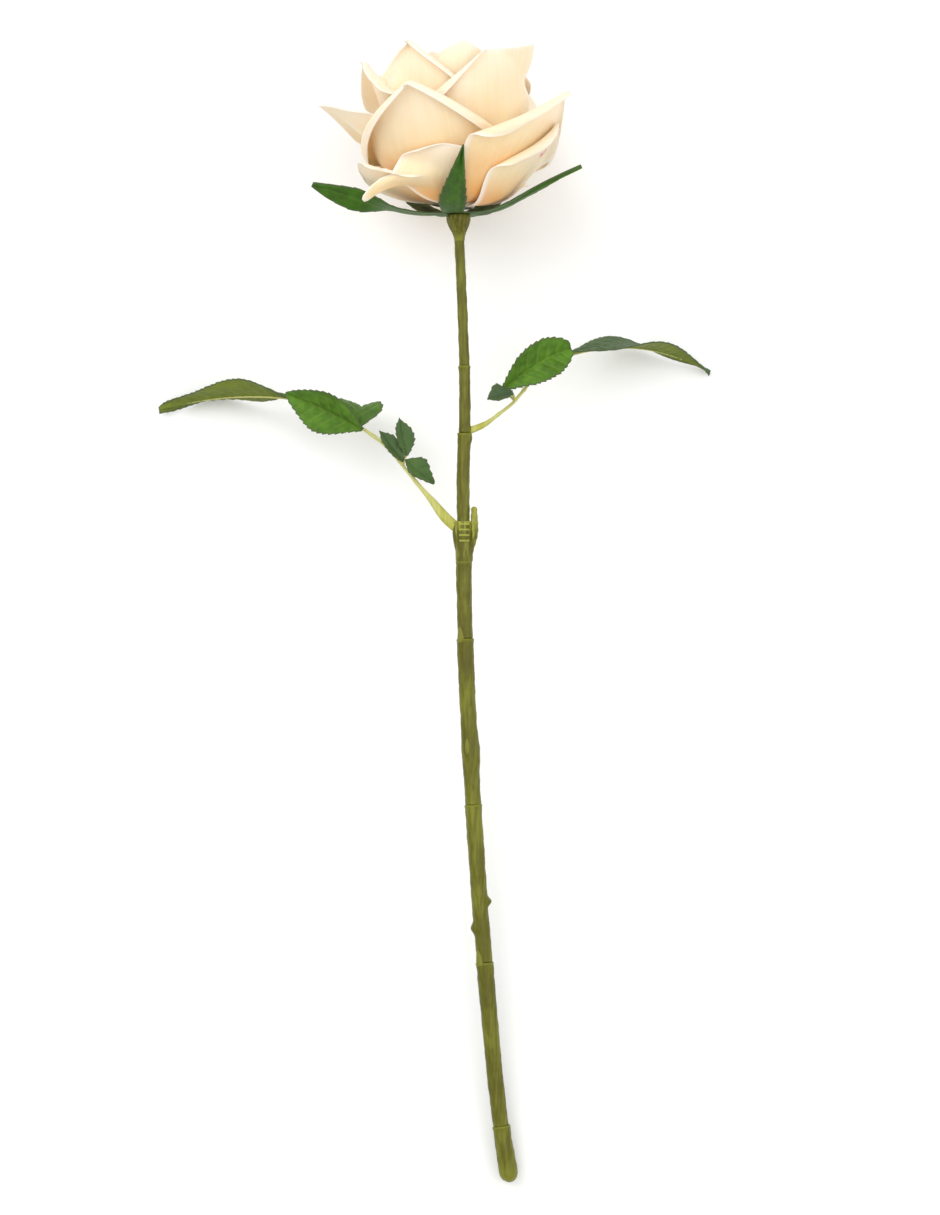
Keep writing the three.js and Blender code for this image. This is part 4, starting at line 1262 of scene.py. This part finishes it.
def ellipse_rings(path, width, depth, facing=(0, 0, 1), sides=14):
    """Rings of an oval tube along a path; its width lies across the path and the facing direction."""
    along = unit(np.gradient(path, axis=0))
    side = unit(np.cross(along, facing))
    face = np.cross(side, along)
    turn = np.arange(sides) * math.tau / sides
    return path[:, None] + np.cos(turn)[:, None] * (side * np.asarray(width)[:, None])[:, None] + (
        np.sin(turn)[:, None] * (face * np.asarray(depth)[:, None])[:, None])


def midrib_of(leaf, v):
    """Points of a leaflet's midrib, and the directions along it, across it and out of its face."""
    base, tip, face = (np.array(leaf[key], dtype=float) for key in ("base", "tip", "face"))
    control = (base + tip) / 2 + 2 * np.array(leaf["bow"], dtype=float)
    v = np.asarray(v, dtype=float)[..., None]
    points = (1 - v) ** 2 * base + 2 * v * (1 - v) * control + v ** 2 * tip
    along = unit(2 * (1 - v) * (control - base) + 2 * v * (tip - control))
    side = unit(np.cross(along, face))
    turn = np.radians(leaf["twist"]) * (v - 0.5)
    side = side * np.cos(turn) + np.cross(along, side) * np.sin(turn)
    return points, along, side, np.cross(side, along)


def leaf_relief(across, along, length, half, spacing):
    """Height of the heat emboss and strength of the vein print, from millimetres across and along."""
    reach = np.abs(across) / np.maximum(half, 1e-6)
    swept = along - np.abs(across) * 0.85 + 0.02 * across ** 2
    row = swept / spacing + np.where(across > 0, 0.0, 0.5)
    from_vein = np.abs(row - np.round(row)) * spacing * 0.75
    vein = np.exp(-((from_vein / 0.38) ** 2)) * (1 - reach ** 3)
    midrib = np.exp(-((across / 0.55) ** 2))
    cells = 0.65 + 0.35 * np.sin(np.abs(across) * math.tau / 3.1 + np.floor(row) * 2.4)
    puff = np.sin(np.pi * (row % 1)) ** 2 * cells
    fade = smooth(np.minimum(along, length - along) / 5) * (1 - 0.6 * reach ** 4) * smooth(half / 6)
    height = fade * (0.42 * puff * smooth(np.abs(across) / 1.6) - 0.25 * vein) - 0.35 * midrib
    return height, np.clip(np.maximum(vein * fade, midrib), 0, 1)


def leaf_points(leaf, settings):
    """Grid of a leaflet with a toothed edge and an embossed face; also its vein print."""
    length = np.linalg.norm(np.subtract(leaf["tip"], leaf["base"])) * 1.04
    teeth = max(int(length / (settings.tooth / MM)), 4)
    columns = teeth * 6 + 1
    rows = int(np.clip(leaf["half"] * 4, 16, 48))
    u, v = np.meshgrid(np.linspace(-1, 1, rows + 1), np.linspace(0, 1, columns), indexing="ij")
    points, along, side, face = midrib_of(leaf, v)
    half = leaf["half"] * outline(leaf, v)
    saw = (v * teeth) % 1 * smooth(half / 2)
    x = u * half + np.sign(u) * np.abs(u) ** 6 * 0.75 * (saw - 0.35)
    height, vein = leaf_relief(x, v * length, length, half, settings.vein_spacing / MM)
    fold = math.radians(leaf["fold"])
    lift = np.abs(x) * math.sin(fold) + leaf["wave"] * u * u * np.sin(9 * v + 2 * u) + height
    grid = points + side * (x * math.cos(fold))[..., None] + face * lift[..., None]
    return grid + RECEPTACLE, u, v, vein


class RoseLeaves(bpy.types.Operator):
    """Cut, emboss and fold the leaflets of both sprigs"""

    bl_idname = "rose.leaves"
    bl_label = "Leaflets"

    def execute(self, context):
        settings = context.scene.rose_leaves
        cloth = leaf_fabric(settings, "leaf")
        for leaf in LEAFLETS:
            grid, u, v, vein = leaf_points(leaf, settings)
            extra = {"vein": vein, "shade": np.full_like(u, leaf["shade"])}
            thickness = settings.thickness / MM
            piece = sheet_object(leaf["name"] + "_cloth", grid, sheet_uv(u, v), thickness, cloth, extra)
            hand_over(piece, "leaf_fabric", leaf["name"])
        return {"FINISHED"}


class RoseLeafstalks(bpy.types.Operator):
    """Mould the two leafstalks with a thin midrib under each leaflet"""

    bl_idname = "rose.leafstalks"
    bl_label = "Leafstalks"

    def execute(self, context):
        settings = context.scene.rose_stem
        plastic = moulded_plastic(
            "moulded_shoot", settings.shoot_dark_hex, settings.shoot_hex, settings.shoot_light_hex,
        )
        for name, (width, depth), route in STALKS:
            path = smooth_route(route, 150) + RECEPTACLE
            t = np.linspace(0, 1, len(path))
            swell = np.exp(-((t / 0.2) ** 3))
            end = np.clip(np.minimum(t, 1 - t) / 0.006, 0, 1) ** 0.5
            knots = 0.16 * sum(np.exp(-(((t - at) / 0.02) ** 2)) for at in (0.3, 0.62, 0.97))
            wide = (lerp(STALK_RADIUS, width, swell) + knots) * end
            deep = (lerp(STALK_RADIUS, depth, swell) + knots) * end
            pale = 0.75 * smooth((t - 0.1) / 0.2)
            parts = [tube_object(f"{name}_rod", ellipse_rings(path, wide, deep), plastic, pale)]
            for leaf in LEAFLETS:
                if leaf["name"].split("_")[0] != name.split("_")[0]:
                    continue
                v = np.linspace(0, 0.8, 60)
                points, _, _, face = midrib_of(leaf, v)
                points = points - face * 0.62 + RECEPTACLE
                nearest = path[np.argmin(np.linalg.norm(path - points[0], axis=1))]
                lead = lerp(nearest, points[0], np.linspace(0, 0.9, 8)[:, None])
                rib = np.concatenate([lead, points])
                thin = np.concatenate([np.full(8, 0.5), 0.5 - 0.35 * v / 0.8])
                rings = ellipse_rings(rib, thin, thin, facing=leaf["face"], sides=10)
                parts.append(tube_object(f"{leaf['name']}_midrib", rings, plastic, np.full(68, 0.7)))
            hand_over(joined(name + "_moulding", parts), "shoot_plastic", name)
        return {"FINISHED"}


SEPAL = dict(
    open=(92, 60, 62), base=(3, -1.2), wrap=(10, 40), length=50, half=7, claw=0.75, wide=0.35, top=0.96,
    taper=1.3, ripple=0.5, dome=0, tip=0,
)
RING_THICKNESS = 0.5
SEPALS = [
    dict(SEPAL, azimuth=-6, open=(93, 60, 26), length=46, half_left=7.5, half_right=2.6, lean=8, seed=51),
    dict(SEPAL, azimuth=72, open=(94, 63, 68), length=51, half=4, roll=14, seed=52),
    dict(SEPAL, azimuth=150, open=(96, 64, 40), length=40, seed=53),
    dict(SEPAL, azimuth=-140, open=(96, 64, 40), length=40, seed=54),
    dict(SEPAL, azimuth=-82, open=(96, 77, 66), length=56, half=5.5, roll=-62, top=0.85, taper=2.6, seed=55),
]


class RoseSepals(bpy.types.Operator):
    """Cut the five-armed sepal star with its toothed arms and its ring"""

    bl_idname = "rose.sepals"
    bl_label = "Sepal star"

    def execute(self, context):
        settings = context.scene.rose_leaves
        cloth = leaf_fabric(settings, "sepal")
        parts = []
        for sepal in SEPALS:
            teeth = int(sepal["length"] / 5)
            u, v = np.meshgrid(np.linspace(-1, 1, 23), np.linspace(0, 1, teeth * 10 + 1), indexing="ij")
            points, outward = petal_points(sepal, u, v)
            tooth = (v * teeth) % 1 * smooth((v - 0.2) / 0.2) * (1 - v)
            sideways = unit(np.gradient(points, axis=0))
            points = points + sideways * (np.sign(u) * np.abs(u) ** 5 * 1.1 * tooth)[..., None]
            rib = np.exp(-((u * sepal["half"] / 0.8) ** 2))
            points = points + outward * (0.35 * rib * (1 - v))[..., None]
            extra = {"vein": 0.4 * rib, "shade": np.zeros_like(u)}
            name = f"sepal_{sepal['azimuth'] % 360}"
            parts.append(sheet_object(
                name, head_to_row(points), sheet_uv(u, v), settings.thickness / MM, cloth, extra,
            ))
        ring = np.radians(np.arange(0, 361, 6.0))
        u, v = np.meshgrid(ring, np.linspace(0, 1, 5), indexing="ij")
        radius = lerp(1.4, 6.6, v)
        points = np.stack([radius * np.sin(u), -1.5 + 0 * u, radius * np.cos(u)], -1)
        extra = {"vein": 0 * u, "shade": 0 * u}
        uv = np.stack([u / math.tau, v], -1)
        parts.append(sheet_object("ring", head_to_row(points), uv, RING_THICKNESS, cloth, extra))
        hand_over(joined("sepal_cloth", parts), "sepal_fabric", "sepal_star")
        return {"FINISHED"}


# ---------- stage ----------
class RoseStageSettings(bpy.types.PropertyGroup):
    """Camera, light and floor."""

    elevation: bpy.props.FloatProperty(
        name="Elevation", description="Height of the camera above the table's plane",
        default=math.radians(84.1), subtype="ANGLE",
    )
    distance: bpy.props.FloatProperty(
        name="Distance", description="Distance from the camera to the rose", default=1400 * MM, unit="LENGTH",
    )
    framed: bpy.props.FloatProperty(
        name="Framed length", description="Length that the picture's long side covers at the stem",
        default=478.7 * MM, unit="LENGTH",
    )
    floor_hex: bpy.props.StringProperty(
        name="Floor colour", description="sRGB hex of the floor", default="#fbfbfa",
    )


class RoseStage(bpy.types.Operator):
    """Set the pale floor, the soft lights and the camera that looks down on the rose"""

    bl_idname = "rose.stage"
    bl_label = "Stage"

    def execute(self, context):
        scene, settings = context.scene, context.scene.rose_stage
        # Matt paper from a roll: almost white, with only a faint cloudiness.
        paper, tree, shader = start_material("matt_paper", {"Roughness": 0.9, "Specular IOR Level": 0.1})
        place = add_node(tree, "ShaderNodeTexCoord").outputs["Object"]
        fibres = add_node(
            tree, "ShaderNodeTexNoise", {"Vector": place, "Scale": 1 / (40 * MM), "Detail": 4.0},
        )
        clouded = add_node(
            tree, "ShaderNodeValToRGB", {"Fac": fibres}, stops=[(0.2, "#f9f9f8"), (0.8, settings.floor_hex)],
        )
        tree.links.new(clouded.outputs["Color"], shader.inputs["Base Color"])
        half, low = 6.0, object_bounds()[0][2]
        corners = [(-half, -half, low), (half, -half, low), (half, half, low), (-half, half, low)]
        mesh = bpy.data.meshes.new("table_top")
        mesh.from_pydata(corners, [], [(0, 1, 2, 3)])
        mesh.materials.append(paper)
        floor = bpy.data.objects.new("table_top", mesh)
        scene.collection.objects.link(floor)

        aim = Vector((RECEPTACLE + (4.7, -155.9, -16.1)) * MM)
        tilt = settings.elevation
        towards = Vector((0, -math.cos(tilt), math.sin(tilt)))
        camera_data = bpy.data.cameras.new("overhead_camera")
        camera_data.sensor_width = 36.0
        camera_data.lens = camera_data.sensor_width * settings.distance / settings.framed
        camera_data.clip_end = 50.0
        camera = bpy.data.objects.new("overhead_camera", camera_data)
        camera.location = aim + towards * settings.distance
        camera.rotation_euler = (math.pi / 2 - tilt, 0, 0)
        scene.collection.objects.link(camera)
        scene.camera = camera

        staged = [floor]
        for name, place, size, power in (
            ("left_softbox", (-0.9, 0.7, 1.4), 1.4, 14.0),
            ("right_softbox", (1.1, 0.3, 1.2), 1.2, 7.0),
            ("top_softbox", (0.1, -0.2, 1.9), 1.8, 10.0),
        ):
            light = bpy.data.lights.new(name, "AREA")
            light.shape = "SQUARE"
            light.size = size
            light.energy = power
            lamp = bpy.data.objects.new(name, light)
            lamp.location = place
            lamp.rotation_euler = (-Vector(place)).to_track_quat("-Z", "Y").to_euler()
            scene.collection.objects.link(lamp)
            staged.append(lamp)
        world = bpy.data.worlds.new("pale_room")
        world.use_nodes = True
        background = world.node_tree.nodes["Background"]
        background.inputs["Color"].default_value = (1.0, 1.0, 1.0, 1.0)
        background.inputs["Strength"].default_value = 0.63
        scene.world = world
        scene.view_settings.view_transform = "Standard"
        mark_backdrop(*staged)
        return {"FINISHED"}


OPERATORS = (RosePetals, RoseSepals, RoseCup, RoseSleeves, RoseCollar, RoseLeafstalks, RoseLeaves, RoseStage)
SETTINGS = {
    "rose_petals": RosePetalSettings, "rose_leaves": RoseLeafSettings, "rose_stem": RoseStemSettings,
    "rose_stage": RoseStageSettings,
}


class RosePanel(bpy.types.Panel):
    """Lists the steps that build the rose"""

    bl_idname = "VIEW3D_PT_rose"
    bl_label = "Artificial rose stem"
    bl_space_type = "VIEW_3D"
    bl_region_type = "UI"
    bl_category = "Rose"

    def draw(self, context):
        for key, group in SETTINGS.items():
            box = self.layout.box()
            for name in group.__annotations__:
                box.prop(getattr(context.scene, key), name)
        for operator in OPERATORS:
            self.layout.operator(operator.bl_idname)


def register():
    for cls in (*SETTINGS.values(), *OPERATORS, RosePanel):
        bpy.utils.register_class(cls)
    for key, group in SETTINGS.items():
        setattr(bpy.types.Scene, key, bpy.props.PointerProperty(type=group))


def unregister():
    for key in SETTINGS:
        delattr(bpy.types.Scene, key)
    for cls in reversed((*SETTINGS.values(), *OPERATORS, RosePanel)):
        bpy.utils.unregister_class(cls)


def main():
    register()
    bpy.ops.rose.petals()
    bpy.ops.rose.sepals()
    bpy.ops.rose.cup()
    bpy.ops.rose.sleeves()
    bpy.ops.rose.collar()
    bpy.ops.rose.leafstalks()
    bpy.ops.rose.leaves()
    bpy.ops.rose.stage()


if __name__ == "__main__":
    main()
